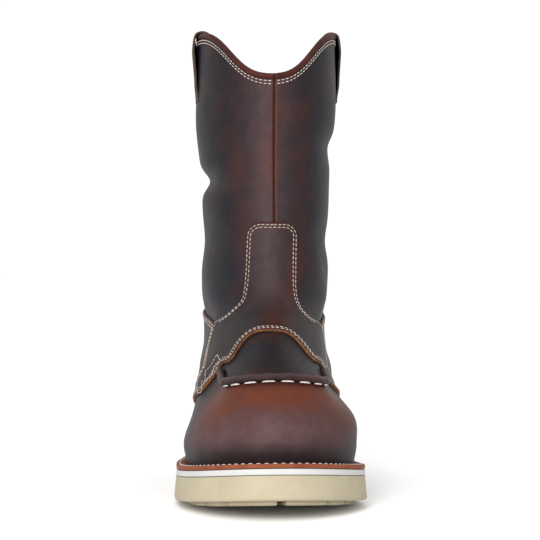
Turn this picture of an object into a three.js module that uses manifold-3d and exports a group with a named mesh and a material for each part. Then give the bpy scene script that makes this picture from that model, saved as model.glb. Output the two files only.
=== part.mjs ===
// Western work boot: a pull-on boot for the right foot, with a moc toe, a scalloped shaft,
// a leather welt and a wedge sole.
// Millimetres. The toe points to -Y, +X is the inner side of the foot, +Z is up and the boot stands on Z = 0.
import * as THREE from "three";
import { mergeVertices } from "three/addons/utils/BufferGeometryUtils.js";
import Module from "manifold-3d";

const wasm = await Module();
wasm.setup();

// Driving dimensions of the sole
const soleLength = 305;
const soleWidth = 114.5;
const outsoleFore = 14.2;
const outsoleHeel = 27;
const rimLift = 2.5;
const toeSpring = 9.3;
const archLift = 1.2;
const midsoleThickness = 3.4;
const weltThickness = 2.6;
const insoleThickness = 6.4;
const heelSwing = 7;
const soleFlare = 1.2;
const soleEdgeRound = 1.6;

// Driving dimensions of the upper
const weltReachToe = 9;
const weltReachHeel = 4.5;
const wall = 2.4;
const bulge = 1.8;
const shoulderTuck = 3.2;
const shoulderLean = 2;
const heelSwell = 1.6;
const throatHeight = 141;
const collarDip = 260;
const collarPeak = 291.5;
const backDip = 263;
const shaftWidth = 94;
const shaftDepth = 146;

// Overlays, trim and clearances
const gap = 0.3;
const seam = 0.5;
const insoleClearance = 0.4;
const saddleThickness = 1.8;
const counterThickness = 1.5;
const tabHeight = 170;
const tabWidth = 33;
const tabCorner = 9;
const ridgeWidth = 5.2;
const ridgeHeight = 4;
const bindingWidth = 4;
const bindingHeight = 3.2;
const strapWidth = 24;
const strapThickness = 1.3;
const strapDrop = 41;
const strapBow = 1.5;
const strapSlack = 4;
const grooveWidth = 5;
const lugLength = 13;
const lugInset = 8;
const grooveDepth = 3;
const notchWidth = 3;
const notchHeight = 6;

// Points round the boot, and the step of angle and of height over which a slope is taken
const ROUND = 52;
const SLOPE_STEP = 0.02;

const halfSole = soleWidth / 2;
const toeY = -soleLength / 2;
const heelY = soleLength / 2;

// Small helpers
const lerp = (a, b, t) => a + (b - a) * t;
const clamp01 = (t) => Math.min(1, Math.max(0, t));
const smooth = (a, b, t) => {
  const s = clamp01((t - a) / (b - a));
  return s * s * (3 - 2 * s);
};

// Catmull-Rom through values that stand at equal steps, with u counted in steps.
function spline(values, u) {
  const last = values.length - 1;
  const i = Math.min(last - 1, Math.max(0, Math.floor(u)));
  const f = u - i;
  const p1 = values[i];
  const p2 = values[i + 1];
  const p0 = i > 0 ? values[i - 1] : 2 * p1 - p2;
  const p3 = i + 2 <= last ? values[i + 2] : 2 * p2 - p1;
  const square = 2 * p0 - 5 * p1 + 4 * p2 - p3;
  const cube = 3 * (p1 - p2) + p3 - p0;
  return p1 + 0.5 * f * (p2 - p0 + f * (square + f * cube));
}

// How far a plan outline has opened at share t of its length: round over its nose and its tail.
function roundEnds(t, nose, tail, power) {
  const q = Math.max(1 - t / nose, 1 - (1 - t) / tail, 0);
  return Math.pow(Math.max(0, 1 - Math.pow(q, power)), 1 / power);
}

// Sole plan: half widths as shares of half the sole's width, at equal steps from toe to heel
const SOLE_INNER = [0.84, 0.93, 0.99, 0.99, 0.9, 0.77, 0.71, 0.7, 0.7, 0.69, 0.66];
const SOLE_OUTER = [0.84, 0.92, 0.97, 1.0, 0.98, 0.87, 0.77, 0.71, 0.69, 0.68, 0.66];
const SOLE_NOSE = 0.28;
const SOLE_TAIL = 0.17;
const SOLE_POWER = 2.25;
const NOTCH_ANGLES = [-0.8, 0.8];
// The middle of the foot swings inwards from the ball to the heel, as shares of heelSwing.
const SWING = [-0.25, -0.1, 0, 0.2, 0.65, 0.95, 1, 1];

const shareOfSole = (y) => clamp01((y - toeY) / soleLength);
const middleX = (y) => heelSwing * spline(SWING, shareOfSole(y) * (SWING.length - 1));

// The sole's outline at angle theta; theta 0 is the toe and the inner side is positive.
function outline(theta) {
  const t = (1 - Math.cos(theta)) / 2;
  const table = Math.sin(theta) >= 0 ? SOLE_INNER : SOLE_OUTER;
  const share = spline(table, t * (table.length - 1)) * roundEnds(t, SOLE_NOSE, SOLE_TAIL, SOLE_POWER);
  const y = lerp(toeY, heelY, t);
  return new THREE.Vector2(middleX(y) + Math.sign(Math.sin(theta)) * share * halfSole, y);
}

// The same outline drawn in by inset, square to its edge.
function solePlan(theta, inset) {
  const along = outline(theta + SLOPE_STEP).sub(outline(theta - SLOPE_STEP)).normalize();
  return outline(theta).add(new THREE.Vector2(-along.y, along.x).multiplyScalar(inset));
}

// Side profile of the sole: the ground line, then the top of each layer, at shares of the sole's length
const SPRING_SHARE = 0.33;
const SPRING_POWER = 1.5;
const ARCH_FROM = 0.42;
const ARCH_TO = 0.72;
const WEDGE_FROM = 0.4;
const WEDGE_TO = 0.86;
const FOREFOOT_TO = 0.5;

function groundZ(y) {
  const t = shareOfSole(y);
  const spring = toeSpring * Math.pow(Math.max(0, 1 - t / SPRING_SHARE), SPRING_POWER);
  const arch = archLift * Math.sin(Math.PI * clamp01((t - ARCH_FROM) / (ARCH_TO - ARCH_FROM))) ** 2;
  return spring + arch;
}
const outsoleBase = (y) => groundZ(y) + rimLift;
const outsoleTop = (y) =>
  groundZ(y) * (1 - smooth(ARCH_FROM, FOREFOOT_TO, shareOfSole(y))) +
  rimLift +
  lerp(outsoleFore, outsoleHeel, smooth(WEDGE_FROM, WEDGE_TO, shareOfSole(y)));
const midsoleTop = (y) => outsoleTop(y) + gap + midsoleThickness;
const weltTop = (y) => midsoleTop(y) + gap + weltThickness;

// Last: one row for each ring of the upper, from the feather edge to the collar.
// front and back are shares of the foot's length, up and upBack of the way from the welt to the throat.
// sag and swing say how far the ring follows the welt's height and the foot's middle line.
// Half widths are shares of half the sole's width at equal steps from the ring's toe end to its heel end,
// on the inner and the outer side. nose and tail are the shares of the ring that its round ends take.
const FOOT_RINGS = [
  { front: 0.066, up: 0.43, back: 1.0, upBack: 0.42, sag: 0.55, swing: 1.0, nose: 0.12, tail: 0.2,
    inner: [0.49, 0.53, 0.65, 0.7, 0.7, 0.64, 0.55], outer: [0.49, 0.52, 0.69, 0.72, 0.7, 0.65, 0.57] },
  { front: 0.185, up: 0.555, back: 0.988, upBack: 0.56, sag: 0.3, swing: 0.8, nose: 0.24, tail: 0.25,
    inner: [0.4, 0.6, 0.625, 0.485], outer: [0.42, 0.64, 0.67, 0.53] },
  { front: 0.3, up: 0.7, back: 0.978, upBack: 0.7, sag: 0.1, swing: 0.5, nose: 0.32, tail: 0.3,
    inner: [0.36, 0.575, 0.65, 0.475], outer: [0.38, 0.61, 0.67, 0.5] },
  { front: 0.412, up: 0.83, back: 0.966, upBack: 0.86, sag: 0, swing: 0.25, nose: 0.4, tail: 0.38,
    inner: [0.44, 0.66, 0.7, 0.5], outer: [0.45, 0.66, 0.71, 0.52] },
];
const FOOT_POWER = 2.1;
// Shaft rings: up is the share of the way from the throat to the collar, and half widths are shares of half
// the shaft's width. depth is the share of the shaft's depth, and back moves the ring's back by that share
// of the foot's length.
const SHAFT_RINGS = [
  { up: 0.0, back: -0.02, depth: 1.0, inner: 0.87, outer: 0.9 },
  { up: 0.22, back: -0.022, depth: 0.965, inner: 0.885, outer: 0.885 },
  { up: 0.42, back: -0.012, depth: 0.965, inner: 0.905, outer: 0.905 },
  { up: 0.7, back: 0.0, depth: 0.985, inner: 0.995, outer: 0.955 },
  { up: 1.0, back: 0.01, depth: 1.03, inner: 0.978, outer: 0.955 },
];
const SHAFT_BACK_SHARE = 0.962;
const SCALLOP_POWER = 1.6;
const SCALLOP_EASE = 0.45;
const SCALLOP_TURN = -0.04;
// Slack folds of the shaft: the angle and height of each, its depth, and its half spreads round and up.
// Heights and spreads upwards are shares of the way from the throat to the collar,
// and depths are shares of the shaft's width.
const FOLDS = [
  { angle: -1.62, at: 0.385, depth: 0.062, turn: 0.75, spread: 0.045 },
  { angle: -1.35, at: 0.12, depth: 0.022, turn: 0.8, spread: 0.09 },
  { angle: 1.55, at: 0.12, depth: 0.026, turn: 0.8, spread: 0.07 },
  { angle: 1.5, at: 0.53, depth: 0.032, turn: 0.7, spread: 0.05 },
  { angle: -1.5, at: 0.62, depth: -0.014, turn: 0.9, spread: 0.13 },
];

const footLength = soleLength - weltReachToe - weltReachHeel;
const footY = (share) => toeY + weltReachToe + share * footLength;
const weltReach = (theta) => lerp(weltReachToe, weltReachHeel, (1 - Math.cos(theta)) / 2);

// One function for each ring of the last, from angle to point, in order from the feather edge upwards
function soleRing(outToe, outHeel, rise, lean) {
  return (theta) => {
    const outwards = lerp(outToe, outHeel, (1 - Math.cos(theta)) / 2);
    const { x, y } = solePlan(theta, weltReach(theta) - outwards);
    return new THREE.Vector3(x + lean, y, weltTop(y) + gap + rise);
  };
}

function footRing(row) {
  const front = footY(row.front);
  const back = footY(row.back);
  const frontZ = lerp(weltTop(front), throatHeight, row.up);
  const backZ = lerp(weltTop(back), throatHeight, row.upBack);
  return (theta) => {
    const t = (1 - Math.cos(theta)) / 2;
    const y = lerp(front, back, t);
    const table = Math.sin(theta) >= 0 ? row.inner : row.outer;
    const share = spline(table, t * (table.length - 1)) * roundEnds(t, row.nose, row.tail, FOOT_POWER);
    const middle = lerp(heelSwing, middleX(y), row.swing);
    const dip = row.sag * (weltTop(y) - lerp(weltTop(front), weltTop(back), t));
    const x = middle + Math.sign(Math.sin(theta)) * share * halfSole;
    return new THREE.Vector3(x, y, lerp(frontZ, backZ, t) + dip);
  };
}

function shaftRing(row) {
  const back = footY(SHAFT_BACK_SHARE + row.back);
  const front = back - shaftDepth * row.depth;
  return (theta) => {
    const t = (1 - Math.cos(theta)) / 2;
    const share = Math.sin(theta) >= 0 ? row.inner : row.outer;
    const rise = 1 - Math.pow(Math.cos(theta - SCALLOP_TURN) ** 2, SCALLOP_POWER);
    const scallop = lerp(rise, smooth(0, 1, rise), SCALLOP_EASE);
    const top = lerp(lerp(collarDip, backDip, t), collarPeak, scallop);
    const z = lerp(throatHeight, top, row.up);
    const x = heelSwing + Math.sin(theta) * share * (shaftWidth / 2);
    return new THREE.Vector3(x, lerp(front, back, t), z);
  };
}

const SHOULDER_RISE = 0.25;
const BULGE_RISE = 0.11;
const footRise = throatHeight - weltTop(0);
const RINGS = [
  soleRing(0, 0, 0, 0),
  soleRing(bulge, bulge, BULGE_RISE * footRise, 0),
  soleRing(-shoulderTuck, heelSwell, SHOULDER_RISE * footRise, shoulderLean),
  ...FOOT_RINGS.map(footRing),
  ...SHAFT_RINGS.map(shaftRing),
];
const TOP = RINGS.length - 1;
const THROAT = RINGS.length - SHAFT_RINGS.length;
const MOC = THROAT - FOOT_RINGS.length;

// Outer face of the upper at angle theta and height step v, before and after its folds.
function plainSurface(theta, v) {
  const rings = RINGS.map((ring) => ring(theta));
  return new THREE.Vector3(
    spline(rings.map((p) => p.x), v),
    spline(rings.map((p) => p.y), v),
    spline(rings.map((p) => p.z), v),
  );
}

function normalAt(face, theta, v) {
  const low = Math.max(0, v - SLOPE_STEP);
  const high = Math.min(TOP, v + SLOPE_STEP);
  const around = face(theta + SLOPE_STEP, v).sub(face(theta - SLOPE_STEP, v));
  const upwards = face(theta, high).sub(face(theta, low));
  const out = around.cross(upwards);
  out.z *= clamp01(v);
  return out.normalize();
}

function foldDepth(theta, z) {
  const turned = theta > Math.PI ? theta - 2 * Math.PI : theta;
  const share = (z - throatHeight) / (collarPeak - throatHeight);
  return FOLDS.reduce((sum, fold) => {
    const a = (turned - fold.angle) / fold.turn;
    const b = (share - fold.at) / fold.spread;
    return sum + fold.depth * shaftWidth * Math.exp(-a * a - b * b);
  }, 0);
}

function surface(theta, v) {
  const p = plainSurface(theta, v);
  const depth = foldDepth(theta, p.z);
  const faint = gap / 15;
  return Math.abs(depth) < faint ? p : p.addScaledVector(normalAt(plainSurface, theta, v), -depth);
}

function offsetSurface(theta, v, distance) {
  return surface(theta, v).addScaledVector(normalAt(surface, theta, v), distance);
}

// Rings of points, as lists of Vector3, and the solids that are skinned over them
const angleOf = (i) => (2 * Math.PI * i) / ROUND;
const loop = (point) => Array.from({ length: ROUND }, (_, i) => point(angleOf(i)));

function meshOf(rings, faces) {
  const geometry = new THREE.BufferGeometry();
  const flat = rings.flat().flatMap((p) => [p.x, p.y, p.z]);
  geometry.setAttribute("position", new THREE.Float32BufferAttribute(flat, 3));
  geometry.setIndex(faces);
  return geometry;
}

function bands(ringCount, size, closed) {
  const faces = [];
  for (let r = 0; r < (closed ? ringCount : ringCount - 1); r++) {
    const next = (r + 1) % ringCount;
    for (let i = 0; i < size; i++) {
      const j = (i + 1) % size;
      const [a, b, c, d] = [r * size + i, r * size + j, next * size + i, next * size + j];
      faces.push(a, b, d, a, d, c);
    }
  }
  return faces;
}

// A ring-shaped solid: the rings run once round its section.
const ringSolid = (rings) => meshOf(rings, bands(rings.length, rings[0].length, true));

// A closed stack of rings, capped by strips that join points of equal Y at its bottom and its top.
function stackSolid(rings) {
  const size = rings[0].length;
  const faces = bands(rings.length, size, false);
  const top = (rings.length - 1) * size;
  for (let i = 0; i < size / 2; i++) {
    const [a, b] = [i, i + 1];
    const [c, d] = [(size - i) % size, size - i - 1];
    if (i > 0) faces.push(a, c, b, top + a, top + b, top + c);
    if (i < size / 2 - 1) faces.push(b, c, d, top + b, top + d, top + c);
  }
  return meshOf(rings, faces);
}

// A solid swept through convex sections, with flat ends.
function sweptSolid(sections) {
  const size = sections[0].length;
  const faces = bands(sections.length, size, false);
  const last = (sections.length - 1) * size;
  for (let i = 1; i < size - 1; i++) faces.push(0, i + 1, i, last, last + i, last + i + 1);
  return meshOf(sections, faces);
}

function toSolid(geometry) {
  const plain = new THREE.BufferGeometry();
  plain.setAttribute("position", geometry.getAttribute("position").clone());
  if (geometry.index) plain.setIndex(geometry.index.clone());
  const merged = mergeVertices(plain, 1e-4);
  return new wasm.Manifold(
    new wasm.Mesh({
      numProp: 3,
      vertProperties: new Float32Array(merged.attributes.position.array),
      triVerts: new Uint32Array(merged.index.array),
    }),
  );
}

function toGeometry(solid) {
  const mesh = solid.getMesh();
  const geometry = new THREE.BufferGeometry();
  geometry.setAttribute("position", new THREE.BufferAttribute(new Float32Array(mesh.vertProperties), 3));
  geometry.setIndex(new THREE.BufferAttribute(new Uint32Array(mesh.triVerts), 1));
  geometry.computeVertexNormals();
  return geometry;
}

// A prism over a side view outline, given as [y, z] pairs, that runs right across the boot.
function sidePrism(outline) {
  const shape = new THREE.Shape(outline.map(([y, z]) => new THREE.Vector2(y, z)));
  const geometry = new THREE.ExtrudeGeometry(shape, { depth: 2 * soleWidth, bevelEnabled: false });
  const acrossX = new THREE.Matrix4().makeBasis(
    new THREE.Vector3(0, 1, 0),
    new THREE.Vector3(0, 0, 1),
    new THREE.Vector3(1, 0, 0),
  );
  return toSolid(geometry.applyMatrix4(acrossX).translate(-soleWidth, 0, 0));
}

// A prism over a front view shape, drawn in x and z, that runs from backY to the front of the boot.
function frontPrism(shape, backY) {
  const depth = backY + soleLength;
  const geometry = new THREE.ExtrudeGeometry(shape, { depth, bevelEnabled: false });
  return toSolid(geometry.rotateX(Math.PI / 2).translate(0, backY, 0));
}

// The upper: outer face, collar rim, inner face and feather edge, skinned as one hollow wall
const OUTER_STEPS = [
  0, 0.5, 1, 1.6, 2.2, 2.6, 3, 3.4, 4, 4.6, 5.3, 6,
  6.5, 7, 7.5, 8, 8.35, 8.65, 8.85, 9.05, 9.4, 9.8, 10.4, 11,
];
const INNER_STEPS = [11, 10, 9.4, 8.9, 8.4, 8, 7, 6, 5, 4, 3.4, 3, 2.6, 2, 1, 0];

function makeUpper() {
  const outside = OUTER_STEPS.map((v) => loop((theta) => surface(theta, v)));
  const inside = INNER_STEPS.map((v) => loop((theta) => offsetSurface(theta, v, -wall)));
  return ringSolid([...outside, ...inside]);
}

// The filled form of the outer face, grown by distance and carried down past the feather edge by below.
function grownForm(distance, below) {
  const rows = OUTER_STEPS.map((v) => loop((theta) => offsetSurface(theta, v, distance)));
  const foot = rows[0].map((p) => new THREE.Vector3(p.x, p.y, p.z - below));
  return toSolid(stackSolid(below > 0 ? [foot, ...rows] : rows));
}

// Outlines of the overlays in side view: shares of the foot's length,
// and of the way from the welt to the throat
const SADDLE_FRONT = [
  [0.2, 0.9], [0.235, 0.53], [0.265, 0.514], [0.283, 0.482],
  [0.297, 0.413], [0.309, 0.36], [0.37, 0.33], [0.44, 0.27],
  [0.475, 0.1], [0.485, -0.2],
];
// The saddle's arch over the toe in front view: shares of half the sole's width, and of the way up as above
const ARCH = [
  [0, 0.688], [0.13, 0.682], [0.23, 0.66], [0.32, 0.617],
  [0.4, 0.565], [0.46, 0.535], [0.53, 0.51], [0.59, 0.475],
];
const ARCH_MIDDLE = 0.01;
const ARCH_BACK_SHARE = 0.36;
const SADDLE_BACK = [
  [0.57, -0.2], [0.555, 0.1], [0.5, 0.34], [0.43, 0.4],
  [0.39, 0.432], [0.387, 0.484], [0.41, 0.524], [0.45, 0.592],
  [0.47, 0.65], [0.478, 0.69],
];
const COUNTER_TOP = [
  [0.495, 0.704], [0.582, 0.722], [0.704, 0.742], [0.85, 0.775], [1.1, 0.83],
];
const COUNTER_FOOT = [1.1, -0.2];
// The tab's edge below its straight side: shares of half its width, of the way from the welt to the throat,
// and of heelSwing for how far the tab's middle stands to the inner side
const FLARE = [
  [1.02, 0.9, 0.63], [1.1, 0.83, 0.56], [1.35, 0.775, 0.31],
  [1.64, 0.73, 0.06], [2, 0.7, -0.05], [2.4, 0.67, -0.1],
];
const FLARE_BACK_SHARE = 0.55;
const TAB_SWING = 0.83;

const upTo = (share) => lerp(weltTop(0), throatHeight, share);
const sidePoint = ([share, up]) => [footY(share), upTo(up)];

function tabShape() {
  const half = tabWidth / 2;
  const place = (x, z, swing) => new THREE.Vector2(x + heelSwing * swing, z);
  const edge = (side) => FLARE.map(([share, up, swing]) => place(side * half * share, upTo(up), swing));
  const corner = (side) => new THREE.QuadraticBezierCurve(
    place(side * half, tabHeight - tabCorner, TAB_SWING),
    place(side * half, tabHeight, TAB_SWING),
    place(side * (half - tabCorner), tabHeight, TAB_SWING),
  ).getPoints(5);
  return new THREE.Shape([...edge(1).reverse(), ...corner(1), ...corner(-1).reverse(), ...edge(-1)]);
}

function archShape() {
  const steps = 2 * (ARCH.length - 1);
  const half = Array.from({ length: steps + 1 }, (_, k) => {
    const x = halfSole * spline(ARCH.map((row) => row[0]), k / 2);
    return [x, upTo(spline(ARCH.map((row) => row[1]), k / 2))];
  });
  const side = (sign) => half.map(([x, z]) => new THREE.Vector2(halfSole * ARCH_MIDDLE + sign * x, z));
  const low = (sign) => new THREE.Vector2(halfSole * ARCH_MIDDLE + sign * half.at(-1)[0], 0);
  return new THREE.Shape([low(-1), ...side(-1).reverse(), ...side(1).slice(1), low(1)]);
}

// The counter's outline as a prism, grown by grow at its front and its top.
function counterPrism(grow) {
  const butt = SADDLE_BACK.map(sidePoint).map(([y, z]) => [y + seam - grow, z]);
  const top = COUNTER_TOP.map(sidePoint).map(([y, z]) => [y, z + grow]);
  return sidePrism([...butt, ...top, sidePoint(COUNTER_FOOT)]);
}

// The saddle crosses the instep down to the welt on both sides and sends its tab up the front of the shaft.
function makeSaddle(form) {
  const band = sidePrism([...SADDLE_FRONT, ...SADDLE_BACK].map(sidePoint));
  const tab = frontPrism(tabShape(), footY(FLARE_BACK_SHARE));
  const shell = grownForm(gap + saddleThickness, 0).subtract(form);
  const arch = frontPrism(archShape(), footY(ARCH_BACK_SHARE));
  return toGeometry(shell.intersect(band.add(tab)).subtract(arch).subtract(counterPrism(seam)));
}

// The counter wraps the heel behind the saddle.
function makeCounter(form) {
  const shell = grownForm(gap + counterThickness, 0).subtract(form);
  return toGeometry(shell.intersect(counterPrism(0)));
}

// Rounded section of the seam ridge and of the collar binding: shares of the width and of the height
const ROLL = [[-0.5, 0], [0.5, 0], [0.5, 0.5], [0.34, 0.86], [0, 1], [-0.34, 0.86], [-0.5, 0.5]];
// The ridge dips by RIDGE_DIP height steps on its way to RIDGE_TURN and then climbs by RIDGE_CLIMB to its ends.
const RIDGE_REACH = 0.83;
const RIDGE_TURN = 0.6;
const RIDGE_DIP = 0.09;
const RIDGE_CLIMB = 0.42;
const RIDGE_CLIMB_POWER = 1.3;
const RIDGE_STEPS = 28;

// The raised seam of the moc toe runs round the front of the plug and stops short of the saddle.
function makeMocRidge() {
  const height = (theta) => {
    const climb = Math.max(0, (Math.abs(theta) - RIDGE_TURN) / (RIDGE_REACH - RIDGE_TURN));
    const dip = RIDGE_DIP * smooth(0, RIDGE_TURN, Math.abs(theta));
    return MOC - dip + RIDGE_CLIMB * Math.pow(climb, RIDGE_CLIMB_POWER);
  };
  const line = (theta) => surface(theta, height(theta));
  const sections = Array.from({ length: RIDGE_STEPS + 1 }, (_, k) => {
    const theta = lerp(-RIDGE_REACH, RIDGE_REACH, k / RIDGE_STEPS);
    const point = line(theta);
    const out = normalAt(surface, theta, height(theta));
    const along = line(theta + SLOPE_STEP).sub(line(theta - SLOPE_STEP)).normalize();
    const across = new THREE.Vector3().crossVectors(out, along).normalize();
    return ROLL.map(([w, h]) => point.clone()
      .addScaledVector(across, w * ridgeWidth)
      .addScaledVector(out, 2 * gap + h * ridgeHeight));
  });
  return sweptSolid(sections);
}

// The binding is a rolled bead round the collar's rim.
function makeBinding() {
  return ringSolid(ROLL.map(([w, h]) => loop((theta) => {
    const point = surface(theta, TOP);
    const out = normalAt(surface, theta, TOP);
    const up = point.clone().sub(surface(theta, TOP - SLOPE_STEP)).normalize();
    point.addScaledVector(out, w * bindingWidth - wall / 2);
    return point.addScaledVector(up, gap + h * bindingHeight);
  })));
}

const HALVINGS = 24;
const STRAP_STEPS = 26;

// How far the shaft's outer face stands from its middle plane at one side, at height z
function shaftReach(side, z) {
  let low = THROAT;
  let high = TOP;
  for (let k = 0; k < HALVINGS; k++) {
    const middle = (low + high) / 2;
    if (surface((side * Math.PI) / 2, middle).z < z) low = middle;
    else high = middle;
  }
  return Math.abs(surface((side * Math.PI) / 2, low).x - heelSwing);
}

// A pull strap stands off the outside of the shaft, passes over the collar and runs down its inside.
function makeStrap(side) {
  const half = strapThickness / 2;
  // The shaft curves away from the flat strap by this much at the strap's two edges.
  const sag = (shaftWidth / 2) * (1 - Math.sqrt(1 - (strapWidth / (shaftDepth - 2 * wall)) ** 2));
  const outerLeg = half + gap;
  const innerLeg = -wall - 2 * gap - half - sag;
  const clear = bindingWidth / 2 + 2 * gap + half;
  const crownZ = collarPeak + gap + bindingHeight / 2;
  const crownRise = bindingHeight / 2 + 6 * gap + half;
  const crownOut = clear - wall / 2;
  const crownIn = -clear - wall / 2 - sag - strapSlack;
  const crown = [0, 0.25, 0.5, 0.75, 1].map((turn) => [
    lerp(crownIn, crownOut, (1 + Math.cos(Math.PI * turn)) / 2),
    crownZ + Math.sin(Math.PI * turn) * crownRise,
  ]);
  // How far each point of the legs lies outside the shaft's outer face, and its height
  const below = (share) => collarPeak - share * strapDrop;
  const path = [
    [outerLeg, below(1)],
    [outerLeg, below(0.8)],
    [outerLeg + 0.2 * strapBow, below(0.6)],
    [outerLeg + 0.7 * strapBow, below(0.35)],
    [outerLeg + strapBow, below(0.16)],
    ...crown,
    [lerp(innerLeg, crownIn, 0.9), below(0.16)],
    [lerp(innerLeg, crownIn, 0.5), below(0.4)],
    [innerLeg, below(0.8)],
  ].map(([out, z]) => new THREE.Vector3(shaftReach(side, z) + out, z, 0));
  const curve = new THREE.CatmullRomCurve3(path, false, "centripetal");
  const edge = (offset) => Array.from({ length: STRAP_STEPS + 1 }, (_, k) => {
    const point = curve.getPointAt(k / STRAP_STEPS);
    const along = curve.getTangentAt(k / STRAP_STEPS);
    return new THREE.Vector2(heelSwing + side * (point.x - along.y * offset), point.y + along.x * offset);
  });
  const shape = new THREE.Shape([...edge(half), ...edge(-half).reverse()]);
  const geometry = new THREE.ExtrudeGeometry(shape, { depth: strapWidth, bevelEnabled: false });
  return geometry.rotateX(Math.PI / 2).translate(0, surface(Math.PI / 2, TOP).y + strapWidth / 2, 0);
}

// One level of the sole: its outline drawn in by inset(theta), at the height given along its length
const level = (inset, height) => loop((theta) => {
  const { x, y } = solePlan(theta, inset(theta));
  return new THREE.Vector3(x, y, height(y));
});
const by = (inset) => () => inset;

// The outsole: a flared wedge with a rounded lower edge, and inset lugs parted by grooves
function makeOutsole() {
  const wedge = toSolid(stackSolid([
    level(by(soleEdgeRound), outsoleBase),
    level(by(0), (y) => outsoleBase(y) + soleEdgeRound),
    level(by(soleFlare), outsoleTop),
  ]));
  const slab = (inset, bottom, top) =>
    toSolid(stackSolid([level(by(inset), bottom), level(by(inset), top)]));
  const tread = slab(lugInset, groundZ, (y) => outsoleBase(y) + soleEdgeRound);
  const pitch = lugLength + grooveWidth;
  const count = Math.floor((soleLength - 2 * lugInset - lugLength) / pitch);
  const tall = 4 * (toeSpring + grooveDepth);
  const cuts = Array.from({ length: count }, (_, k) => {
    const across = new THREE.BoxGeometry(2 * soleWidth, grooveWidth, tall);
    return toSolid(across.translate(0, (k - (count - 1) / 2) * pitch, 0));
  });
  cuts.push(toSolid(new THREE.BoxGeometry(grooveWidth, 2 * soleLength, tall)));
  const reach = slab(lugInset - gap, (y) => groundZ(y) - rimLift, (y) => groundZ(y) + grooveDepth);
  const grooves = wasm.Manifold.union(cuts).intersect(reach);
  const notches = NOTCH_ANGLES.map((theta) => {
    const { x, y } = solePlan(theta, 0);
    const cone = new THREE.ConeGeometry(notchWidth / 2, notchHeight, 6);
    return toSolid(cone.rotateX(Math.PI / 2).translate(x, y, outsoleBase(y) + notchHeight / 2 - gap));
  });
  return toGeometry(wedge.add(tread).subtract(wasm.Manifold.union([grooves, ...notches])));
}

const makeMidsole = () => stackSolid([
  level(by(soleFlare), (y) => outsoleTop(y) + gap),
  level(by(soleFlare), midsoleTop),
]);

// The welt is a flat ring: its outer edge follows the sole and its inner edge the inside of the upper.
const makeWelt = () => ringSolid([
  level(by(soleFlare), (y) => midsoleTop(y) + gap),
  level(by(soleFlare), weltTop),
  level((theta) => weltReach(theta) + wall, weltTop),
  level((theta) => weltReach(theta) + wall, (y) => midsoleTop(y) + gap),
]);

const makeInsole = () => stackSolid([
  level((theta) => weltReach(theta) + wall + insoleClearance, (y) => midsoleTop(y) + gap),
  level((theta) => weltReach(theta) + wall + insoleClearance, (y) => midsoleTop(y) + gap + insoleThickness),
]);

// Materials
const material = (color, roughness) => new THREE.MeshStandardMaterial({ color, roughness, metalness: 0 });
const oiledLeather = material(0x4b3232, 0.42);
const overlayLeather = material(0x513636, 0.42);
const bindingLeather = material(0x4a2a24, 0.5);
const weltLeather = material(0xa65a36, 0.6);
const strapWebbing = material(0x4a3a28, 0.8);
const creamRubber = material(0xd8cba6, 0.75);
const whiteRubber = material(0xf0efe9, 0.7);
const corkFoam = material(0xb89b72, 0.9);

const form = grownForm(gap, soleEdgeRound);
const pieces = {
  outsole: [makeOutsole(), creamRubber],
  midsole: [makeMidsole(), whiteRubber],
  welt: [makeWelt(), weltLeather],
  insole: [makeInsole(), corkFoam],
  upper: [makeUpper(), oiledLeather],
  saddle: [makeSaddle(form), overlayLeather],
  counter: [makeCounter(form), overlayLeather],
  moc_ridge: [makeMocRidge(), oiledLeather],
  collar_binding: [makeBinding(), bindingLeather],
  pull_strap_inner: [makeStrap(1), strapWebbing],
  pull_strap_outer: [makeStrap(-1), strapWebbing],
};

const group = new THREE.Group();
for (const [name, [geometry, finish]] of Object.entries(pieces)) {
  geometry.computeVertexNormals();
  const mesh = new THREE.Mesh(geometry, finish);
  mesh.name = name;
  group.add(mesh);
}

export default group;
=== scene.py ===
import math
import bpy
import numpy as np
import mathutils
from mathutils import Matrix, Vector


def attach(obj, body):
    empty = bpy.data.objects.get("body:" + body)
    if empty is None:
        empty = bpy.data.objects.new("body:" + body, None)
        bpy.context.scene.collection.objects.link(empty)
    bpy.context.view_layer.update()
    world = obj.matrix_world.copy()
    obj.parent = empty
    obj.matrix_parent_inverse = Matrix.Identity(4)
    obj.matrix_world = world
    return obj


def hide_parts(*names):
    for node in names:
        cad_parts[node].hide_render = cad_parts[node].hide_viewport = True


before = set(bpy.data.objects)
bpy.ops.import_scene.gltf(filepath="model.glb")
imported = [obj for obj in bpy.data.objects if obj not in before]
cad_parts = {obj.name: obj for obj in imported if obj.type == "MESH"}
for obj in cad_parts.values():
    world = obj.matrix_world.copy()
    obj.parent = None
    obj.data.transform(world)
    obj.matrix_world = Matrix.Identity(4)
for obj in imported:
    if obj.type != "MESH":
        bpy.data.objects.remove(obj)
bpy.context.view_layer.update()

# Looks of the western work boot. The shape is worked out in millimetres, as in the source,
# and built in metres.
MM = 0.001
PI = math.pi

# Driving dimensions of the sole
soleLength = 305
soleWidth = 114.5
outsoleFore = 14.2
outsoleHeel = 27
rimLift = 2.5
toeSpring = 9.3
archLift = 1.2
midsoleThickness = 3.4
weltThickness = 2.6
heelSwing = 7
soleFlare = 1.2
soleEdgeRound = 1.6

# Driving dimensions of the upper
weltReachToe = 9
weltReachHeel = 4.5
wall = 2.4
bulge = 1.8
shoulderTuck = 3.2
shoulderLean = 2
heelSwell = 1.6
throatHeight = 141
collarDip = 260
collarPeak = 291.5
backDip = 263
shaftWidth = 94
shaftDepth = 146

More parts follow.
